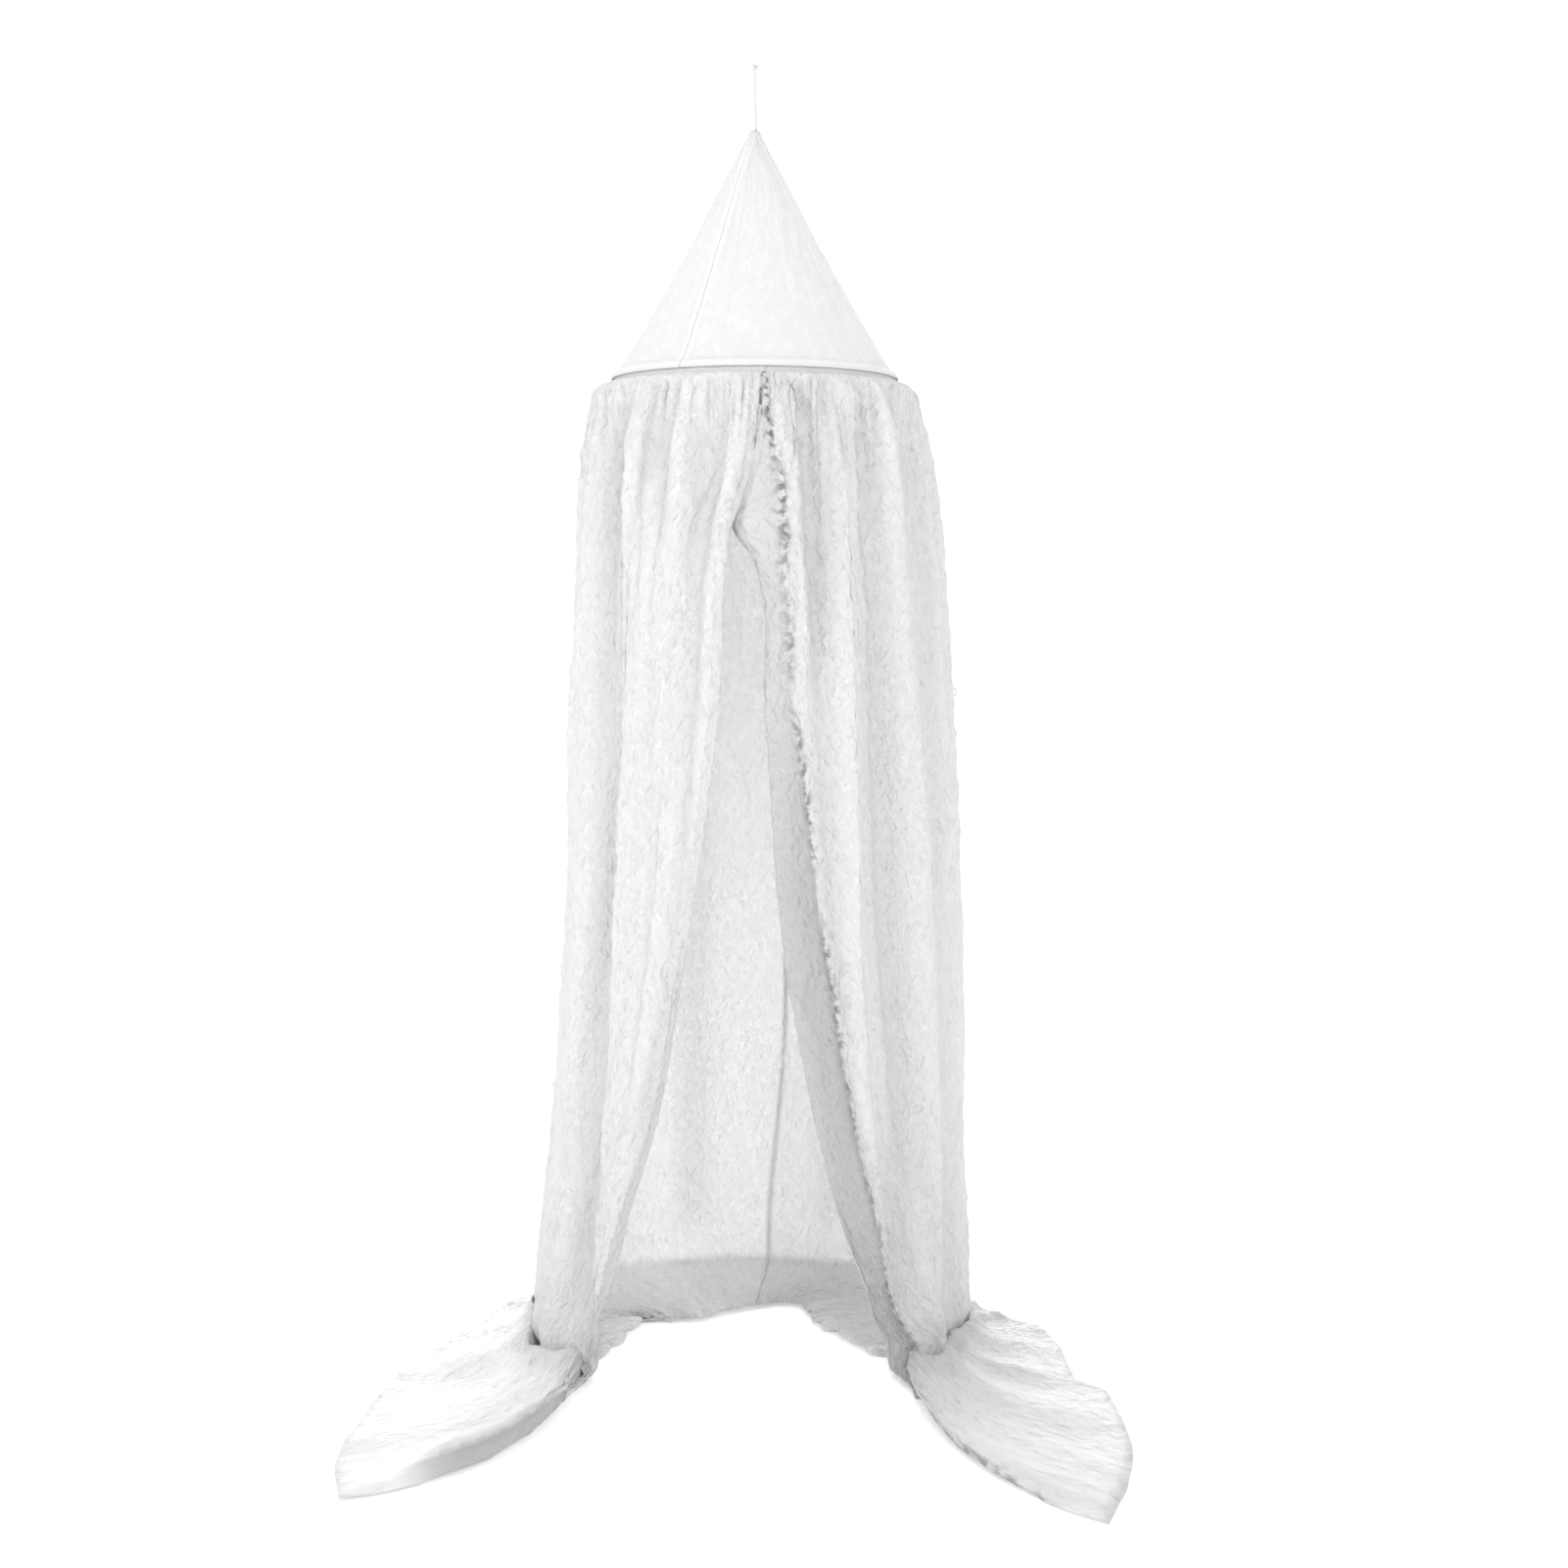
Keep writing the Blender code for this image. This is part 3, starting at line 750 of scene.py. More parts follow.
LEFT_PANEL = PanelShape(
    side=Side.LEFT,
    node="curtain_left",
    folds=(
        (16.0, 21.0, 31.5, -0.008, 4.0), (24.0, 27.0, 36.0, 0.005, 4.5), (38.0, 37.0, 41.0, 0.013, 6.0),
        (53.0, 48.0, 50.0, -0.017, 7.0), (74.0, 63.0, 64.0, 0.011, 8.0),
        (92.0, 84.0, 82.0, -0.009, 8.0), (108.0, 104.0, 102.0, 0.01, 8.0),
        (124.0, 122.0, 120.0, -0.012, 8.0), (141.0, 140.0, 140.0, 0.009, 8.0),
        (157.0, 157.0, 157.0, -0.007, 7.0), (172.0, 172.0, 172.0, 0.006, 5.5),
    ),
    crisp=(
        (41.3, 40.0, 42.3, 0.0065, 1.8), (45.6, 43.8, 46.6, -0.0075, 1.7),
        (51.0, 48.5, 50.5, -0.006, 4.5), (31.5, 32.0, 38.0, -0.006, 2.2),
        (25.0, 27.5, 35.0, 0.005, 2.0), (17.0, 20.5, 31.0, -0.0055, 2.2),
        (59.0, 55.0, 57.0, -0.004, 2.2), (67.0, 70.0, 73.0, 0.004, 2.4),
        (84.0, 90.0, 92.0, -0.004, 3.0),
    ),
    lip=((0.0, 0.016, 4.5), (0.60, 0.014, 4.0), (0.75, 0.006, 5.0), (1.40, 0.002, 5.0)),
    lip_width=((0.0, 0.004), (0.06, 0.006), (0.15, 0.018), (1.457, 0.018)),
    lip_shade=((0.0, 1.0), (0.03, 1.0), (0.08, 0.55), (0.55, 0.45), (0.68, 0.2), (1.457, 0.1)),
    short_folds=(
        (7.0, 9.0, 1.1, 0.007, 2.0), (12.0, 13.5, 1.12, -0.01, 2.4), (20.0, 22.0, 1.15, 0.0095, 2.6),
        (26.0, 30.5, 1.15, -0.014, 3.0), (36.0, 38.0, 1.2, 0.007, 3.0), (45.5, 46.0, 1.2, -0.006, 2.5),
    ),
    roll=0.0190,
    roll_end=0.90,
    roll_hem=0.026,
    roll_dark_end=1.975,
    train_shade=0.04,
    inner=(
        (0.0, -0.272, -0.31), (0.1, -0.235, -0.155), (0.25, -0.205, -0.06), (0.4, -0.172, 0.035),
        (0.55, -0.14, 0.03), (0.7, -0.1, 0.03), (0.85, -0.05, 0.065), (1.0, 0.0, 0.095),
    ),
    hem=(
        (0.0, -0.52, -0.655), (0.08, -0.55, -0.52), (0.16, -0.545, -0.4), (0.24, -0.535, -0.27),
        (0.32, -0.505, -0.15), (0.42, -0.458, -0.03), (0.5, -0.428, 0.07), (0.58, -0.395, 0.135),
        (0.7, -0.305, 0.225), (0.85, -0.165, 0.305), (1.0, 0.0, 0.33),
    ),
    edge_bend=(0.0820, -0.1150),
    train_folds=(
        (0.035, 0.026, 0.026), (0.15, 0.01, 0.04), (0.29, 0.012, 0.05), (0.44, 0.008, 0.05),
    ),
)
RIGHT_PANEL = PanelShape(
    side=Side.RIGHT,
    node="curtain_right",
    folds=(
        (12.0, 17.0, 25.0, 0.006, 4.0), (19.6, 22.5, 29.0, -0.009, 4.0), (29.0, 28.5, 33.0, 0.013, 4.5),
        (37.0, 38.0, 42.5, -0.018, 6.0), (48.5, 51.5, 54.0, 0.012, 5.5),
        (64.0, 65.0, 67.5, -0.011, 7.0), (81.0, 82.0, 83.0, 0.009, 7.0),
        (97.0, 98.0, 98.0, -0.012, 8.0), (115.0, 114.0, 113.0, 0.01, 8.0),
        (132.0, 130.0, 129.0, -0.008, 8.0), (147.0, 146.0, 145.0, 0.008, 7.0),
        (159.0, 157.0, 156.0, -0.005, 5.0),
    ),
    crisp=(
        (28.4, 28.4, 31.6, 0.007, 1.5), (31.4, 31.6, 35.2, -0.0065, 1.7),
        (23.8, 25.2, 28.6, -0.004, 1.5), (44.0, 46.5, 49.5, -0.0045, 1.8),
        (49.5, 51.5, 54.5, 0.0045, 1.8), (57.5, 59.0, 62.0, -0.004, 2.2),
        (73.0, 75.0, 76.0, 0.0035, 2.4), (88.0, 90.0, 92.0, -0.004, 3.0),
    ),
    lip=((0.0, 0.030, 13.0), (1.15, 0.030, 13.0), (1.40, 0.003, 13.0)),
    lip_width=(
        (0.0, 0.078), (0.28, 0.078), (0.41, 0.083), (0.58, 0.082), (0.67, 0.075), (0.775, 0.068),
        (0.909, 0.059), (1.0, 0.044), (1.1, 0.04), (1.16, 0.037), (1.2, 0.045), (1.232, 0.066),
        (1.3, 0.055), (1.36, 0.028), (1.4, 0.014), (1.457, 0.004),
    ),
    lip_shade=((0.0, 1.0), (0.65, 1.0), (0.80, 0.90), (1.05, 0.50), (1.457, 0.25)),
    short_folds=(
        (9.0, 12.5, 0.98, 0.006, 2.6), (13.6, 16.6, 0.98, 0.0115, 1.5), (17.0, 20.0, 0.98, -0.015, 2.6),
        (26.0, 25.0, 1.05, -0.009, 3.5), (34.5, 30.0, 1.15, 0.007, 1.8),
        (37.5, 34.0, 1.15, -0.008, 2.2), (47.5, 46.0, 1.18, 0.005, 3.0),
        (58.0, 57.0, 1.18, -0.005, 3.0),
    ),
    roll=0.0085,
    roll_end=0.75,
    roll_hem=0.009,
    roll_dark_end=1.93,
    train_shade=0.36,
    inner=(
        (0.0, 0.238, -0.3), (0.1, 0.213, -0.15), (0.25, 0.165, -0.105), (0.4, 0.125, -0.035),
        (0.55, 0.09, 0.03), (0.7, 0.075, 0.095), (0.85, 0.04, 0.112), (1.0, 0.0, 0.095),
    ),
    hem=(
        (0.0, 0.445, -0.725), (0.07, 0.49, -0.6), (0.14, 0.515, -0.45), (0.21, 0.51, -0.28),
        (0.27, 0.47, -0.215), (0.34, 0.465, -0.09), (0.42, 0.44, 0.01), (0.5, 0.39, 0.06),
        (0.6, 0.345, 0.13), (0.72, 0.27, 0.23), (0.86, 0.145, 0.31), (1.0, 0.0, 0.33),
    ),
    edge_bend=(-0.0900, -0.0750),
    train_folds=(
        (0.03, 0.014, 0.03), (0.13, 0.009, 0.035), (0.245, 0.014, 0.035), (0.36, 0.008, 0.045),
    ),
)


@dataclass
class CurtainPanel:
    """One curtain panel, from its gathered heading to its hem on the floor.

    Args:
        cut: The sizes that both panels share.
        shape: Where this panel's folds, hems and train lie.
    """

    cut: CurtainCut
    shape: PanelShape

    @property
    def column(self) -> int:
        """The table column of this panel's side."""
        return 1 if self.shape.side is Side.LEFT else 2

    def span(self, height: float) -> float:
        """Degrees from the front round to the back seam, on this panel's side."""
        return 180.0 - self.shape.side.value * float(through(self.cut.seam_turn, height, 1))

    def angle(self, share: Array, height: float) -> Array:
        """Degrees from the front at a height, by share of the way from the edge to the back seam."""
        swing = through(self.cut.edge_swing, height, self.column)
        angle = share * self.span(height) + swing * (1.0 - share) ** self.cut.swing_fall_off
        if self.shape.side is Side.RIGHT:
            own_turn = through(self.cut.edge_overlap, height, 1)
            angle = angle + own_turn * (1.0 - share) ** self.cut.overlap_fall_off
        return angle

    def fold_depth(self, angle: Array, height: float) -> Array:
        """How far the folds stand out from the plain wall at a height, by degrees from the front."""
        high, middle, low = self.cut.fold_heights
        total = np.zeros_like(angle)
        for high_deg, middle_deg, low_deg, depth, spread in (*self.shape.folds, *self.shape.crisp):
            track = ((low, low_deg), (middle, middle_deg), (high, high_deg))
            total += depth * hump(angle, float(through(track, height, 1)), spread)
        drop = self.cut.fold_start_height - self.cut.fold_full_height
        total *= float(falling(height, (self.cut.fold_start_height, drop)))
        top = self.cut.wall[0][0]
        for top_deg, bottom_deg, bottom, depth, spread in self.shape.short_folds:
            gone = (top - height) / (top - bottom)
            strength = float(rising(gone, self.cut.short_start) * falling(gone, self.cut.short_end))
            total += depth * strength * hump(angle, top_deg + (bottom_deg - top_deg) * gone, spread)
        return total

    def lip_turn(self, angle: Array, height: float) -> Array:
        """How far the front hem turns in at each place of a height."""
        depth, reach = [float(through(self.shape.lip, height, column)) for column in (1, 2)]
        edge = self.angle(np.array(0.0), height)
        return depth * np.clip(1.0 - (angle - edge) / reach, 0.0, None) ** 2

    def wall_row(self, share: Array, profile: Sequence[float]) -> Array:
        """The points of a hanging row, from the columns' shares and a row of the wall table."""
        height, back = profile[0], profile[3]
        angle = self.angle(share, height)
        middle = (profile[1] + profile[2]) / 2.0
        radius = middle + (profile[self.column] - middle) * ease(angle / self.cut.side_from_deg)
        to_back = (angle - self.cut.back_from_deg) / (self.span(height) - self.cut.back_from_deg)
        radius = radius + (back - radius) * ease(to_back)
        radius = radius + self.fold_depth(angle, height) - self.lip_turn(angle, height)
        turn = np.radians(angle)
        across = self.shape.side.value * (radius * np.sin(turn) + SEAM_HALF_GAP)
        return np.stack([across, -radius * np.cos(turn), np.full_like(turn, FLOOR_Z + height)], axis=1)

    def plan(self, table: Table, share: Array) -> Array:
        """Places on the floor from a table of shares."""
        across = through(table, share, 1) + self.shape.side.value * SEAM_HALF_GAP
        return np.stack([across, through(table, share, 2)], axis=1)

    def floor_rows(self, share: Array, foot: Array) -> list[Array]:
        """The rows of the fold on the floor and of the train.

        Args:
            share: The columns' shares.
            foot: Where the wall ends, in plan.

        Returns:
            The rows, wall first.
        """
        cut = self.cut
        inner, hem = self.plan(self.shape.inner, share), self.plan(self.shape.hem, share)
        start = foot + (inner - foot) * (1.0 - ease(share / cut.edge_settle))[:, None]
        standing = rising(np.linalg.norm(hem - foot, axis=1), cut.train_from) * rising(share, cut.train_edge)
        foot_rise = cut.foot_rise[0][1] * standing * falling(share, cut.inner_until)
        rows = []
        for height, inwards, returning in cut.inner_rows:
            place = start if returning else foot
            lift = foot_rise * max(1.0 - inwards / cut.inner_reach, 0.0) * returning
            rows.append(np.column_stack([place + (inner - place) * inwards, FLOOR_Z + height + lift]))
        lean = np.clip(1.0 - share / cut.bend_reach, 0.0, None)[:, None] ** 2
        bend = (start + hem) / 2.0 + np.array(self.shape.edge_bend) * lean
        folds = sum(high * hump(share, centre, spread) for centre, high, spread in self.shape.train_folds)
        for along in cut.train_rows:
            first, second = start + (bend - start) * along, bend + (hem - bend) * along
            rise = folds * math.sin(math.pi * along) ** 2
            rise += float(through(cut.foot_rise, along, 1)) * standing
            place, rise = self.rolled(first + (second - first) * along, rise, along)
            rows.append(np.column_stack([place, FLOOR_Z + cut.train_height + rise]))
        return rows

    def rolled(self, place: Array, rise: Array, along: float) -> tuple[Array, Array]:
        """Roll the train's front edge under, with its outline kept.

        Args:
            place: A row of the train, in plan.
            rise: How high each point stands.
            along: How far along the train the row lies, from 0 to 1.

        Returns:
            The row's places and heights.
        """
        cut = self.cut
        ending = falling(along, (self.shape.roll_end, cut.roll_stop))
        radius = self.shape.roll * float(rising(along, cut.roll_start) * ending)
        if radius < cut.roll_least:
            return place, rise
        inwards = place[cut.roll_column] - place[0]
        inwards = inwards / np.linalg.norm(inwards)
        gone = (place - place[0]) @ inwards
        arc = math.pi * radius
        turn = math.pi * np.clip(1.0 - gone / arc, 0.0, 1.0)
        beyond = np.clip(gone - arc, 0.0, None)
        drawn = gone - (math.pi - 1.0) * radius * np.exp(-beyond / cut.roll_fade)
        moved = np.where(gone < arc, radius * (1.0 - np.sin(turn)), drawn)
        settling = np.exp(-((beyond / cut.roll_settle) ** 2))
        high = np.where(gone < arc, radius * (1.0 + np.cos(turn)), 2.0 * radius * settling)
        rise = np.maximum(high, rise * rising(beyond, cut.roll_level))
        return place + inwards * (moved - gone)[:, None], rise

    def build(self) -> Piece:
        """Make the panel's finished sheet."""
        cut = self.cut
        share = np.linspace(0.0, 1.0, cut.columns + 1) ** cut.column_bias
        rows = [self.wall_row(share, profile) for profile in cut.wall]
        rows += self.floor_rows(share, rows[-1][:, :2])
        net = spline_rows(np.array(rows), cut.row_step)
        down = row_lengths(net)
        across, down = np.meshgrid(share * cut.width, down * cut.length / down[-1])
        outwards = grid_normals(net) * self.shape.side.value
        height = net[..., 2] - FLOOR_Z
        lip = through(self.shape.lip_width, height, 1)
        lip = lip + (self.shape.roll_hem - lip) * rising(down, (cut.lip_end, cut.lip_fade))
        relief = self.relief(across, down, height, lip)
        relief += self.crumple(across, height) * falling(np.hypot(net[..., 0], net[..., 1]), cut.heap)
        relief *= falling(across, (cut.width, cut.seam_flat))
        net = net + outwards * relief[..., None]
        doubling_and_shade, thickness = self.hems(across, down, height, lip)
        net[..., 2] = np.maximum(net[..., 2], FLOOR_Z + thickness / 2.0 + cut.floor_gap)
        layers = [net, thickness, np.stack([across, down], axis=2), doubling_and_shade]
        layers += [np.stack([across - lip, down], axis=2), falling(height, cut.backed_height)]
        if self.shape.side is Side.LEFT:
            layers = [layer[:, ::-1] for layer in layers]
        return closed_sheet(f"{self.shape.node}_cloth", *layers)

    def crumple(self, across: Array, height: Array) -> Array:
        """Pleats where the cloth turns in on the floor, by place across the cut and height."""
        total = np.zeros_like(across)
        for centre, depth, spread in self.cut.floor_pleats:
            total += depth * hump(across, centre, spread)
        return total * falling(height, self.cut.pleat_top) * rising(height, self.cut.pleat_low)

    def relief(self, across: Array, down: Array, height: Array, lip: Array) -> Array:
        """Gathers, small folds and crinkles that the frame's solid leaves out.

        Args:
            across: Places across the cut.
            down: Places down the cut.
            height: Height of each point above the floor.
            lip: Width of the front hem at each point.

        Returns:
            How far each point moves outwards.
        """
        cut, lean = self.cut, self.shape.side.value
        seed = 10 if self.shape.side is Side.LEFT else 40
        below = np.clip(cut.wall[0][0] - height, 0.0, None)
        start = rising(below, cut.heading_start)
        size, stretch, slant, depth = cut.gather
        near_heading = start * np.exp(-below / cut.gather_fall)
        total = depth * Crinkle(size, stretch, slant, seed + 1).creases(across, down) * near_heading
        size, stretch, slant, depth = cut.tuck
        tucks = Crinkle(size, stretch, slant, seed + 2).height(across, down)
        total += depth * tucks * start * np.exp(-below / cut.tuck_fall)
        calm = 1.0 - cut.calm * rising(across / cut.width, cut.calm_from)
        settled = rising(below, cut.settled_from) * calm
        size, stretch, slant, depth = cut.long_fold
        total += depth * Crinkle(size, stretch, slant * lean, seed + 3).height(across, down) * settled
        for slant, size, seed_step, depth in cut.wrinkles:
            wrinkles = Crinkle(size, cut.wrinkle_stretch, slant * lean, seed + int(seed_step))
            patches = Crinkle(*cut.patch, 0.0, seed + int(seed_step) + 10)
            patchy = ease(cut.patch_sharp[0] + cut.patch_sharp[1] * patches.height(across, down))
            strength = cut.patch_strength[0] + cut.patch_strength[1] * patchy
            total += depth * wrinkles.creases(across, down) * strength * settled
        if self.shape.side is Side.RIGHT:
            width, depth = cut.groove
            hollow = depth * np.exp(-(((across - lip) / width) ** 2))
            total -= hollow * rising(below, cut.groove_top) * rising(down, cut.groove_start)
        return total - cut.relief_middle * settled

    def hems(self, across: Array, down: Array, height: Array, lip: Array) -> tuple[Array, Array]:
        """Where the cloth looks dark: real double layers and painted shade.

        Args:
            across: Places across the cut.
            down: Places down the cut.
            height: Height of each point above the floor.
            lip: Width of the front hem at each point.

        Returns:
            How dark the cloth looks, from double layers and painted shade, and its thickness.
        """
        cut = self.cut
        front = past(lip, across, cut.hem_blur)
        bottom = past(down, cut.length - cut.hem_width, cut.hem_blur)
        back = past(across, cut.width - cut.seam_width, cut.seam_blur)
        thickness = cut.thickness + (cut.hem_thickness - cut.thickness) * np.maximum(front, bottom)
        # Painted shade on the front hem where it turns in, darkest next to its stitched line
        front = front * through(self.shape.lip_shade, height, 1)
        front = front * (cut.lip_look[0] + cut.lip_look[1] * np.clip(across / lip, 0.0, 1.0))
        # The painted shadow under the rolled edge stops here
        front = front * (1.0 - rising(down, (self.shape.roll_dark_end, cut.dark_fade)))
        # Painted shade in the fold troughs
        hollow = np.array([self.hollow(row, float(rise)) for row, rise in zip(across, height.mean(axis=1))])
        # Painted shade over the train
        train = self.shape.train_shade * rising(down, (cut.lip_end, cut.lip_fade))
        looks = (front, cut.hem_shade * bottom, train, hollow, cut.seam_shade * back)
        return np.maximum.reduce(looks), thickness

    def hollow(self, across: Array, height: float) -> Array:
        """Painted shade down in the folds' troughs, along a row at a height."""
        depth = self.fold_depth(self.angle(across / self.cut.width, height), height)
        troughs = self.cut.hollow_shade * np.clip(-depth / self.cut.hollow_depth, 0.0, 1.0)
        return troughs * rising(height, self.cut.hollow_low)


# The cone, the band, the cord and the loop

@dataclass(frozen=True)
class ConeTop:
    """The cone of four gores.

    Args:
        profile: Height and radius from the blunt tip to the turned hem.
        seams_deg: Where the gores meet, in degrees from the front.
        creases_deg: Where faint creases run down the cone, and how deep they are in metres.
        gap: Gap between two gores.
        sag: How far the cloth sags between two seams.
        sag_end: Share of the way down at which it has no sag left.
        columns: Steps across a gore.
        row_step: Length of a step down a gore.
        thickness: Thickness of one layer.
        hem_thickness: Thickness of the turned hem.
        hem_width: Width of the turned hem.
    """

    profile: Table = (
        # z, radius
        (-0.1, 0.0068), (-0.113, 0.0135), (-0.15, 0.0345), (-0.22, 0.0725), (-0.3, 0.116),
        (-0.38, 0.1605), (-0.44, 0.1955), (-0.4575, 0.207), (-0.4635, 0.2152), (-0.47, 0.216),
    )
    seams_deg: Numbers = (-29.0, 54.0, 144.0, 235.0)
    creases_deg: Table = (
        # degrees, depth
        (-21.0, 0.001), (-12.5, 0.0014), (-4.0, 0.0008), (14.0, 0.0006), (33.0, 0.0008), (-52.0, 0.001),
        (88.0, 0.0009), (120.0, 0.001), (171.0, 0.0009), (205.0, 0.001), (262.0, 0.0009),
        (290.0, 0.0008),
    )
    gap: float = 0.0004
    sag: float = 0.004
    sag_end: float = 0.95
    columns: int = 110
    row_step: float = 0.0035
    thickness: float = 0.0011
    hem_thickness: float = 0.0020
    hem_width: float = 0.014
    hem_blur: float = 0.003
    seam_width: float = 0.008
    seam_blur: float = 0.002
    seam_calm: Pair = (1.2, 0.15)
    crease_width_deg: float = 0.9
    pulled: Numbers = (0.030, 8.0, 0.0, 71, 0.0004)
    slack: Numbers = (0.055, 3.0, 0.5, 72, 0.0005)

    def row(self, number: int, z: float, radius: float) -> Array:
        """The points of a row of one gore, numbered from 0, at a height and a radius."""
        first, last = self.ends(number)
        inset = math.asin(self.gap / 2.0 / radius)
        across = np.linspace(0.0, 1.0, self.columns + 1)
        turn = math.radians(first) + inset + (math.radians(last - first) - 2.0 * inset) * across
        down = (self.profile[0][0] - z) / (self.profile[0][0] - self.profile[-1][0])
        down = min(down / self.sag_end, 1.0)
        reach = radius - self.sag * np.sin(math.pi * across) * math.sin(math.pi * down)
        return np.stack([reach * np.sin(turn), -reach * np.cos(turn), np.full_like(turn, z)], axis=1)

    def flat_area(self, number: int) -> float:
        """Area of a gore's cut, a narrow wedge of a circle."""
        first, last = self.ends(number)
        top, rim = self.profile[0], self.profile[-1]
        slope = math.hypot(top[0] - rim[0], rim[1] - top[1])
        return math.radians(last - first) * rim[1] * slope / 2.0

    def ends(self, number: int) -> tuple[float, float]:
        """The two seams of a gore, in degrees."""
        seams = self.seams_deg + (self.seams_deg[0] + 360.0,)
        return seams[number], seams[number + 1]

    def build(self, number: int) -> Piece:
        """Make the finished sheet of one gore, numbered from 0."""
        control = np.array([self.row(number, z, radius) for z, radius in self.profile])
        net = spline_rows(control, self.row_step)
        slope = row_lengths(net)
        first, last = self.ends(number)
        angle, down = np.meshgrid(np.linspace(first, last, self.columns + 1), slope)
        across = np.radians(angle) * self.profile[-1][1]
        near_seam = np.minimum(angle - first, last - angle)
        wide, least = self.seam_calm
        relief = self.relief(angle, across, down, slope[-1]) * ease(near_seam / wide + least)
        net = net + grid_normals(net) * relief[..., None]
        hem = past(down, slope[-1] - self.hem_width, self.hem_blur)
        beside = np.radians(near_seam) * np.hypot(net[..., 0], net[..., 1])
        doubling_and_shade = np.maximum(hem, past(self.seam_width, beside, self.seam_blur))
        thickness = self.thickness + (self.hem_thickness - self.thickness) * hem
        cloth = np.stack([across * 0.5, down], axis=2)
        stitching = np.stack([beside - self.seam_width, down], axis=2)
        return closed_sheet(f"cone_cloth_{number + 1}", net, thickness, cloth, doubling_and_shade, stitching)

    def relief(self, angle: Array, across: Array, down: Array, length: float) -> Array:
        """Creases that run down the cone and crinkles of cloth pulled tight.

        Args:
            angle: Degrees round the cone.
            across: Places round the rim, in metres.
            down: Places down the slope, in metres.
            length: Length of the slope.

        Returns:
            How far each point stands out.
        """
        total = np.zeros_like(angle)
        middle = np.sin(math.pi * np.clip(down / length, 0.0, 1.0))
        for centre, depth in self.creases_deg:
            for turn in (centre, centre + 360.0):
                total -= depth * hump(angle, turn, self.crease_width_deg) * middle
        for size, stretch, slant, seed, depth in (self.pulled, self.slack):
            total += depth * Crinkle(size, stretch, slant, seed).height(across, down) * middle
        return total


@dataclass(frozen=True)
class HeadingBand:
    """The plain strip between the cone and the gathers, open at its join."""

    radius: float = 0.2129
    thickness: float = 0.0014
    top_z: float = -0.4645
    bottom_z: float = -0.4845
    join_deg: float = 5.0
    join_gap_deg: float = 0.12
    steps: tuple[int, int] = (361, 9)
    wave: float = 0.0004
    plain_look: Pair = (0.35, 0.65)
    end_width: float = 0.010
    end_blur: float = 0.003
    stitch_above: float = 0.002

    def build(self) -> Piece:
        """Make the strip."""
        gap = self.join_gap_deg
        turn = np.radians(self.join_deg + np.linspace(gap, 360.0 - gap, self.steps[0]))
        across, z = np.meshgrid(turn * self.radius, np.linspace(self.top_z, self.bottom_z, self.steps[1]))
        reach = self.radius + self.wave * Crinkle(0.020, 2.0, 0.3, 90).height(across, z)
        net = np.stack([reach * np.sin(turn), -reach * np.cos(turn), z], axis=2)
        ends = np.minimum(across - across[0, 0], across[0, -1] - across)
        # Painted shade over the whole band for the shadow under the cone's hem, more at the double layer of
        # its join
        doubling_and_shade = self.plain_look[0] + self.plain_look[1] * past(self.end_width, ends, self.end_blur)
        thickness = np.full_like(across, self.thickness)
        stitching = np.stack([self.bottom_z + self.stitch_above - z, across], axis=2)
        return closed_sheet("band_cloth", net, thickness, np.stack([across, z], axis=2), doubling_and_shade, stitching)


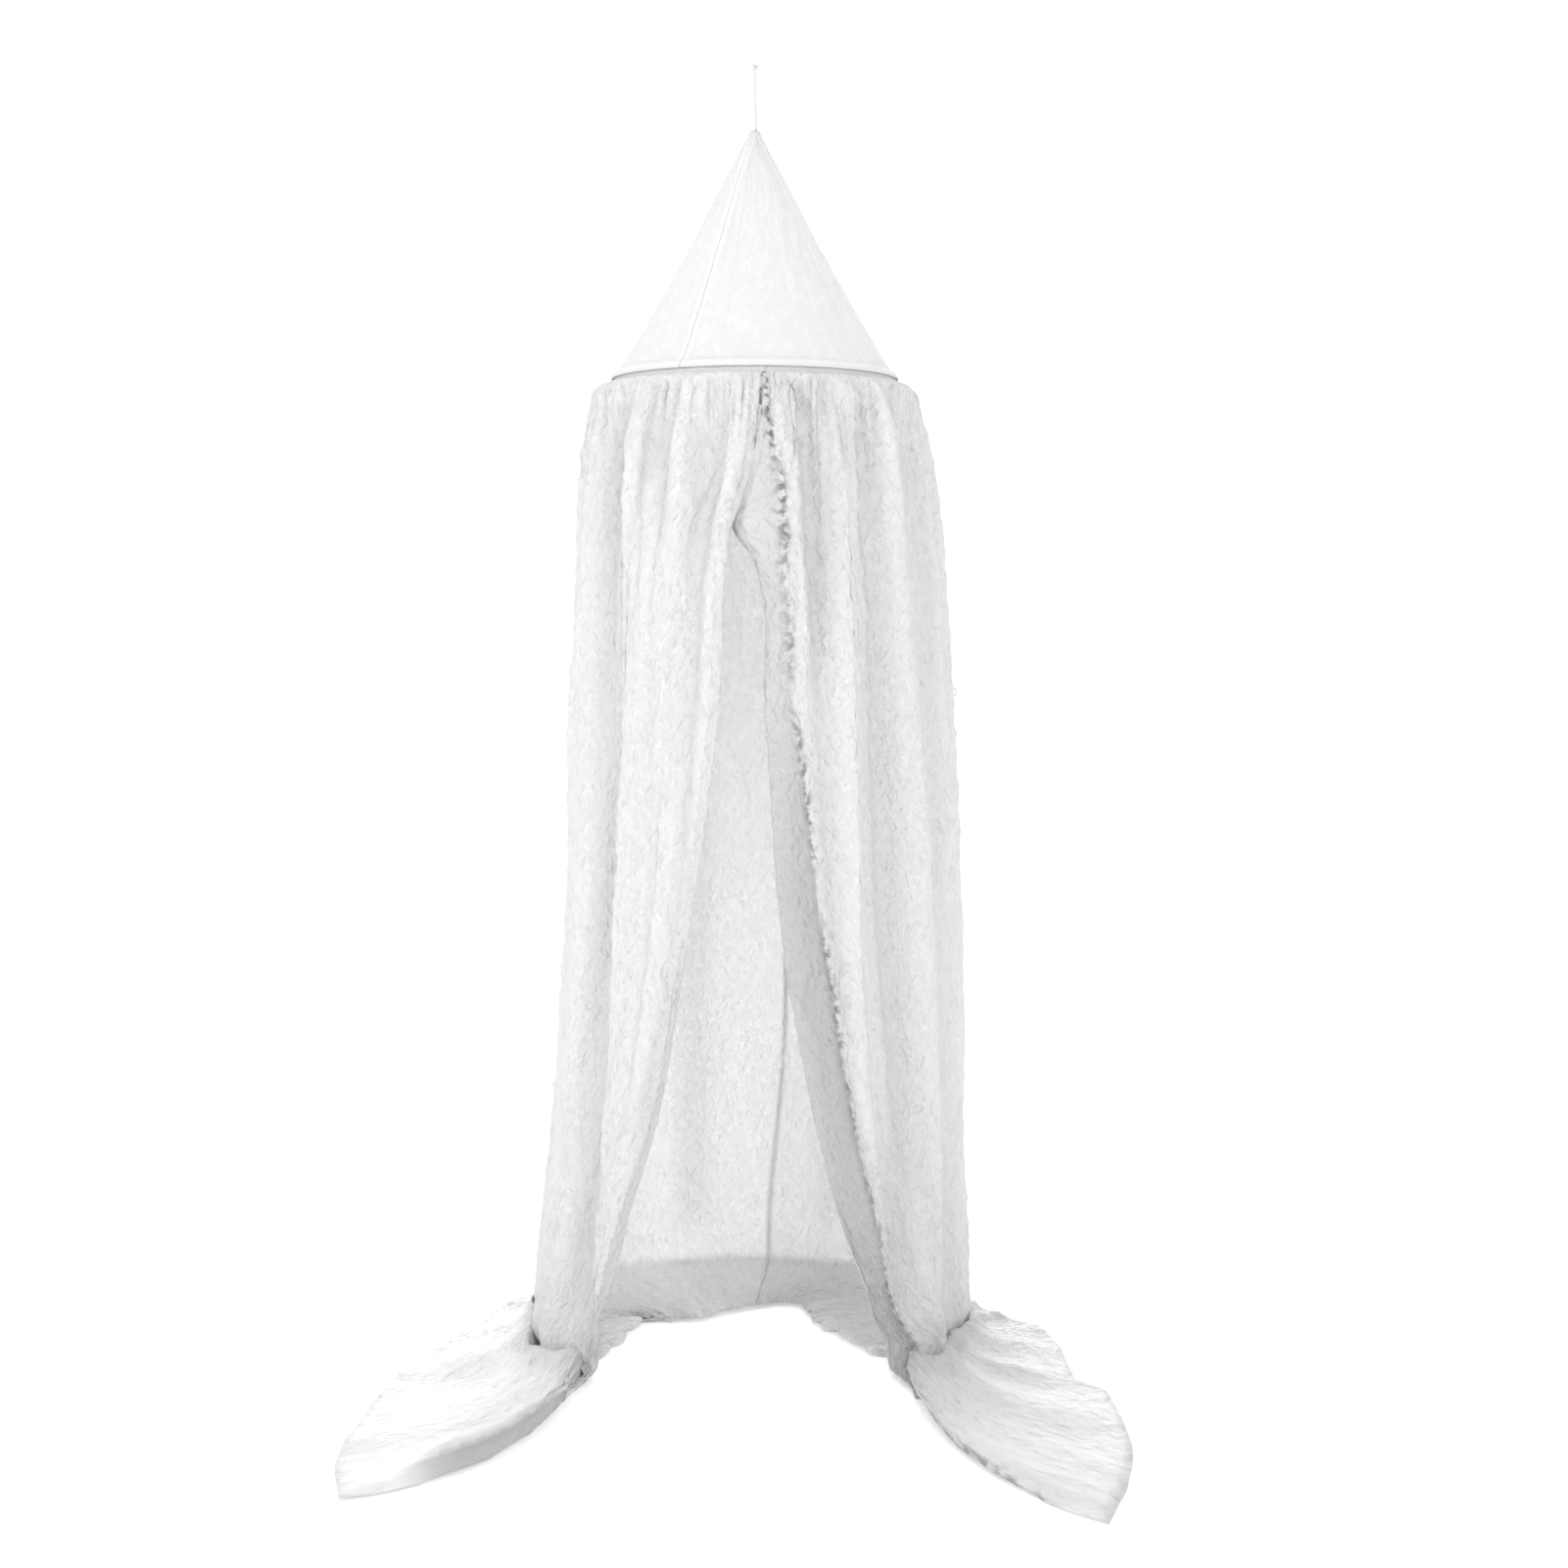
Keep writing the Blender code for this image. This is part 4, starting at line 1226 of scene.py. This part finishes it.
@dataclass(frozen=True)
class HangingCord:
    """The twisted cord, from the cone's tip up to its knot."""

    diameter: float = 0.005
    strands: int = 3
    lay_length: float = 0.016
    groove: Pair = (0.80, 0.20)
    sides: int = 30
    cord_steps: int = 170
    knot_steps: int = 220
    knot_radius: float = 0.006
    knot_tube: float = 0.0023
    knot_lobes: Pair = (0.62, 0.38)
    knot_height: float = 0.75
    route: Table = (
        # x, y, z, from the knot down to the cone
        (0.0, 0.0, -0.0123), (0.0001, 0.0, -0.019), (0.0001, 0.0, -0.0255), (0.0002, 0.0, -0.032),
        (0.0004, 0.0, -0.0385), (0.0006, 0.0, -0.045), (0.0008, 0.0, -0.0515), (0.001, 0.0, -0.058),
        (0.0012, 0.0, -0.0645), (0.0014, 0.0, -0.071), (0.0016, 0.0, -0.0775), (0.0018, 0.0, -0.084),
        (0.0019, 0.0, -0.0905), (0.002, 0.0, -0.0975), (0.002, 0.0, -0.104),
    )

    @property
    def length(self) -> float:
        """Length of the route."""
        return float(np.linalg.norm(np.diff(np.array(self.route), axis=0), axis=1).sum())

    def tube(self, name: str, line: Array, radius: float, closed: bool) -> Piece:
        """Make a twisted tube along a line of points.

        Args:
            name: The piece's name.
            line: Its points.
            radius: Its outer radius.
            closed: Whether its ends meet.

        Returns:
            The finished tube.
        """
        sides, count = self.sides, len(line)
        turns = row_lengths(line[:, None]) / self.lay_length
        ahead, beside = np.gradient(line, axis=0), np.array([0.0, 1.0, 0.0])
        if closed:
            ahead, beside = np.roll(line, -1, axis=0) - np.roll(line, 1, axis=0), unit(line)
            turns = np.arange(count) / count * round(turns[-1])
        side = unit(np.cross(unit(ahead), beside))
        up = np.cross(side, unit(ahead))
        round_it = np.linspace(0.0, 2.0 * math.pi, sides, endpoint=False)
        lobes = np.abs(np.cos((round_it[None, :] - 2.0 * math.pi * turns[:, None]) * self.strands / 2.0))
        reach = radius * (self.groove[0] + self.groove[1] * np.sqrt(lobes))
        points = (
            line[:, None, :]
            + side[:, None, :] * (reach * np.cos(round_it))[..., None]
            + up[:, None, :] * (reach * np.sin(round_it))[..., None]
        )
        here = np.arange(count * sides).reshape(count, sides)
        after = np.roll(here, -1, axis=0)
        faces = np.stack([here, np.roll(here, -1, axis=1), np.roll(after, -1, axis=1), after], axis=-1)
        faces = faces[:None if closed else -1].reshape(-1, 4).tolist()
        if not closed:
            faces += [here[0, ::-1].tolist(), here[-1].tolist()]
        return link_mesh(name, points.reshape(-1, 3), faces)

    def build_cord(self) -> Piece:
        """Make the cord."""
        rows = [(index, *place) for index, place in enumerate(self.route)]
        at = np.linspace(0.0, len(rows) - 1.0, self.cord_steps)
        line = np.stack([through(rows, at, axis) for axis in (1, 2, 3)], axis=1)
        return self.tube("hanging_cord_twist", line, self.diameter / 2.0, closed=False)

    def build_knot(self) -> Piece:
        """Make the knot at the cord's top."""
        turn = np.linspace(0.0, 2.0 * math.pi, self.knot_steps, endpoint=False)
        wide = self.knot_radius - self.knot_tube
        ring = wide * (self.knot_lobes[0] + self.knot_lobes[1] * np.cos(3.0 * turn))
        high = self.knot_height * wide * np.sin(3.0 * turn)
        line = np.stack([ring * np.cos(2.0 * turn), ring * np.sin(2.0 * turn), high], axis=1)
        knot = self.tube("cord_knot_twist", line, self.knot_tube, closed=True)
        knot.data.transform(Matrix.Translation((0.0, 0.0, -self.knot_radius)))
        return knot


@dataclass(frozen=True)
class SideLoop:
    """The small thread loop on the right panel."""

    radius: float = 0.0062
    tube: float = 0.0011

    def build(self, node: Piece) -> Piece:
        """Make the loop where the frame has its own."""
        corners = [node.matrix_world @ Vector(corner) for corner in node.bound_box]
        centre = sum(corners, Vector()) / len(corners)
        bpy.ops.object.select_all(action="DESELECT")
        bpy.ops.mesh.primitive_torus_add(
            major_radius=self.radius, minor_radius=self.tube, major_segments=64, minor_segments=14
        )
        loop = bpy.context.active_object
        loop.name = "side_loop_thread"
        loop.data.transform(Matrix.Translation(centre) @ Matrix.Rotation(math.pi / 2.0, 4, "X"))
        loop.data.shade_smooth()
        return loop


# The studio

@dataclass(frozen=True)
class Studio:
    """The floor, the lights and the camera at the photo's place."""

    camera_place: Triple = (0.044, -3.30, FLOOR_Z + 1.13)
    camera_pitch_deg: float = -4.7
    focal_mm: float = 49.47
    sensor_mm: float = 36.0
    floor_half: float = 30.0
    floor_colour: float = 0.95
    floor_glow: float = 0.27
    back_light: float = 1.5
    back_edge: Pair = (0.25, 1.6)
    side_light: float = 0.39
    side_lean: float = -0.22
    top_light: float = 0.43
    inner_spread_deg: float = 50.0
    area_lights: tuple = (
        # name, place, target, side, watts
        ("key", (-3.0, -2.6, 0.8), (0.0, 0.0, -0.7), 1.5, 44.0),
        ("fill", (1.1, -3.2, 0.6), (0.0, 0.0, -0.5), 1.8, 51.0),
        ("rear", (0.2, 3.2, -1.1), (0.0, 0.0, -1.5), 1.8, 145.0),
        ("inner", (0.0, 0.02, -0.56), (0.0, 0.02, -1.9), 0.2, 0.31),
    )

    def camera(self) -> None:
        """Add the camera."""
        data = bpy.data.cameras.new("camera")
        data.lens = self.focal_mm
        data.sensor_width = self.sensor_mm
        camera = bpy.data.objects.new("camera", data)
        camera.location = self.camera_place
        camera.rotation_euler = (math.radians(90.0 + self.camera_pitch_deg), 0.0, 0.0)
        bpy.context.scene.collection.objects.link(camera)
        bpy.context.scene.camera = camera

    def floor(self) -> None:
        """Add the pale floor."""
        half = self.floor_half
        corners = ((-half, -half), (half, -half), (half, half), (-half, half))
        ground = link_mesh("floor", np.array([(x, y, FLOOR_Z) for x, y in corners]), [(0, 1, 2, 3)])
        material = bpy.data.materials.new("floor")
        material.use_nodes = True
        tree = NodeTree(material.node_tree)
        tree.fill(material.node_tree.nodes["Principled BSDF"], {
            "Base Color": (*[self.floor_colour] * 3, 1.0), "Roughness": 1.0, "Specular IOR Level": 0.0,
            "Emission Color": (1.0, 1.0, 1.0, 1.0), "Emission Strength": self.floor_glow,
        })
        ground.data.materials.append(material)

    def lights(self) -> None:
        """Add the soft lights and the white surround, brighter behind."""
        world = bpy.context.scene.world or bpy.data.worlds.new("surround")
        bpy.context.scene.world = world
        world.use_nodes = True
        world.node_tree.nodes.clear()
        tree = NodeTree(world.node_tree)
        towards = tree.add("SeparateXYZ", {0: tree.add("TexCoord").outputs["Generated"]}).outputs
        start, slope = self.back_edge
        behind = tree.maths("MULTIPLY", tree.maths("ADD", towards[1], start), slope, clamp=True)
        overhead = {0: tree.maths("MAXIMUM", towards[2], 0.0), 1: self.top_light, 2: self.side_light}
        around = tree.add("Math", overhead, operation="MULTIPLY_ADD").outputs[0]
        side = tree.maths("ADD", around, tree.maths("MULTIPLY", towards[0], self.side_lean))
        strength = tree.add("Mix", {0: behind, 2: side, 3: self.back_light}, data_type="FLOAT").outputs[0]
        background = tree.add("Background", {"Color": (1.0, 1.0, 1.0, 1.0), "Strength": strength})
        tree.add("OutputWorld", {0: background.outputs[0]})
        for name, place, target, side_length, watts in self.area_lights:
            light = self.area(name, Vector(place), Vector(target), side_length, watts)
        light.data.spread = math.radians(self.inner_spread_deg)
        light.visible_camera = False
        bpy.context.scene.view_settings.view_transform = "Standard"

    @staticmethod
    def area(name: str, place: Vector, target: Vector, size: float, power: float) -> Piece:
        """Add a square soft light of a side in metres and a power in watts, facing a target."""
        data = bpy.data.lights.new(name, "AREA")
        data.size = size
        data.energy = power
        light = bpy.data.objects.new(name, data)
        light.location = place
        light.rotation_euler = (target - place).to_track_quat("-Z", "Y").to_euler()
        bpy.context.scene.collection.objects.link(light)
        return light


@dataclass
class BedCanopy:
    """The whole canopy, built from its sub-assemblies.

    Args:
        cord: The cord and its knot.
        cone: The cone of gores.
        band: The heading band.
        cut: The sizes that both curtain panels share.
        panels: The two panels' shapes.
        loop: The thread loop.
    """

    cord: HangingCord = HangingCord()
    cone: ConeTop = ConeTop()
    band: HeadingBand = HeadingBand()
    cut: CurtainCut = CurtainCut()
    panels: tuple[PanelShape, ...] = (LEFT_PANEL, RIGHT_PANEL)
    loop: SideLoop = SideLoop()

    @staticmethod
    def settle(piece: Piece, node: str, slot: Slot, finish: Material) -> None:
        """Give a piece its material and its place in the frame.

        Args:
            piece: The finished piece.
            node: The frame's node that it stands for.
            slot: Its material slot; not used.
            finish: Its material.
        """
        piece.data.materials.append(finish)
        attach(piece, "root")
        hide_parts(node)
        LOG.info("%s: %d points", piece.name, len(piece.data.vertices))

    def hang_cord(self, finish: Material) -> None:
        """Build the cord and the knot."""
        cord, knot = self.cord.build_cord(), self.cord.build_knot()
        self.settle(cord, "hanging_cord", Slot.CORD, finish)
        self.settle(knot, "cord_knot", Slot.CORD, finish)

    def stretch_cone(self, finish: Material) -> None:
        """Build the four gores."""
        for number in range(4):
            gore = self.cone.build(number)
            self.settle(gore, f"cone_gore_{number + 1}", Slot.CONE, finish)
            self.cone.flat_area(number)

    def sew_band(self, finish: Material) -> None:
        """Build the heading band."""
        band = self.band.build()
        self.settle(band, "heading_band", Slot.BAND, finish)

    def hang_curtain(self, groups: EffectGroups) -> None:
        """Build both panels."""
        for shape in self.panels:
            right = shape.side is Side.RIGHT
            finish = GauzeFinish(
                f"curtain_gauze_{shape.side.name.lower()}",
                # The right panel's darker colour is painted shade for the side away from the key light
                pale=(0.905, 0.905, 0.90) if right else (0.93, 0.93, 0.925),
                # A dark colour, mostly painted shade: fold troughs, turned-in hems, trains and the
                # undersides of rolled edges
                double_layer_and_shade=(0.39, 0.39, 0.385),
                backing=0.65,
                pucker=0.95 if right else 0.25,
                pucker_width=0.0095 if right else 0.002,
            )
            cloth = CurtainPanel(self.cut, shape).build()
            self.settle(cloth, shape.node, Slot.CURTAIN, finish.build(groups))

    def add_loop(self, finish: Material) -> None:
        """Build the thread loop."""
        node = bpy.data.objects["side_loop"]
        self.settle(self.loop.build(node), "side_loop", Slot.CORD, finish)

    def dress_hoop(self, finish: Material) -> None:
        """Dress the frame's own hoop."""
        hoop = bpy.data.objects["hoop"]
        hoop.data.materials.clear()
        hoop.data.materials.append(finish)
        LOG.info("%s: dressed", hoop.name)


def main() -> None:
    """Build every sub-assembly and report it."""
    logging.basicConfig(level=logging.INFO, format="%(name)s: %(message)s")
    studio = Studio()
    studio.camera()
    canopy = BedCanopy()
    twisted = PlainFinish(
        "twisted_cotton", (0.74, 0.74, 0.73), (0.48, 0.48, 0.47), roughness=0.9, grain=900.0, depth=0.0002
    )
    canopy.hang_cord(twisted.build())
    groups = EffectGroups()
    cone = GauzeFinish(
        "cone_gauze", pale=(0.955, 0.955, 0.95), crepe_size=0.007, crepe_stretch=4.5, crepe_depth=0.0006,
    )
    canopy.stretch_cone(cone.build(groups))
    # The band's grey colour is painted shade under the cone's overhanging hem
    band = GauzeFinish("band_cotton", pale=(0.74, 0.74, 0.74), glow=0.12, crepe_depth=0.0004, pucker=0.5)
    canopy.sew_band(band.build(groups))
    canopy.hang_curtain(groups)
    canopy.add_loop(twisted.build())
    hoop = PlainFinish(
        "hoop_surface", (0.80, 0.79, 0.76), (0.74, 0.73, 0.70), roughness=0.45, grain=60.0, depth=0.0001
    )
    canopy.dress_hoop(hoop.build())
    studio.floor()
    studio.lights()


if __name__ == "__main__":
    main()
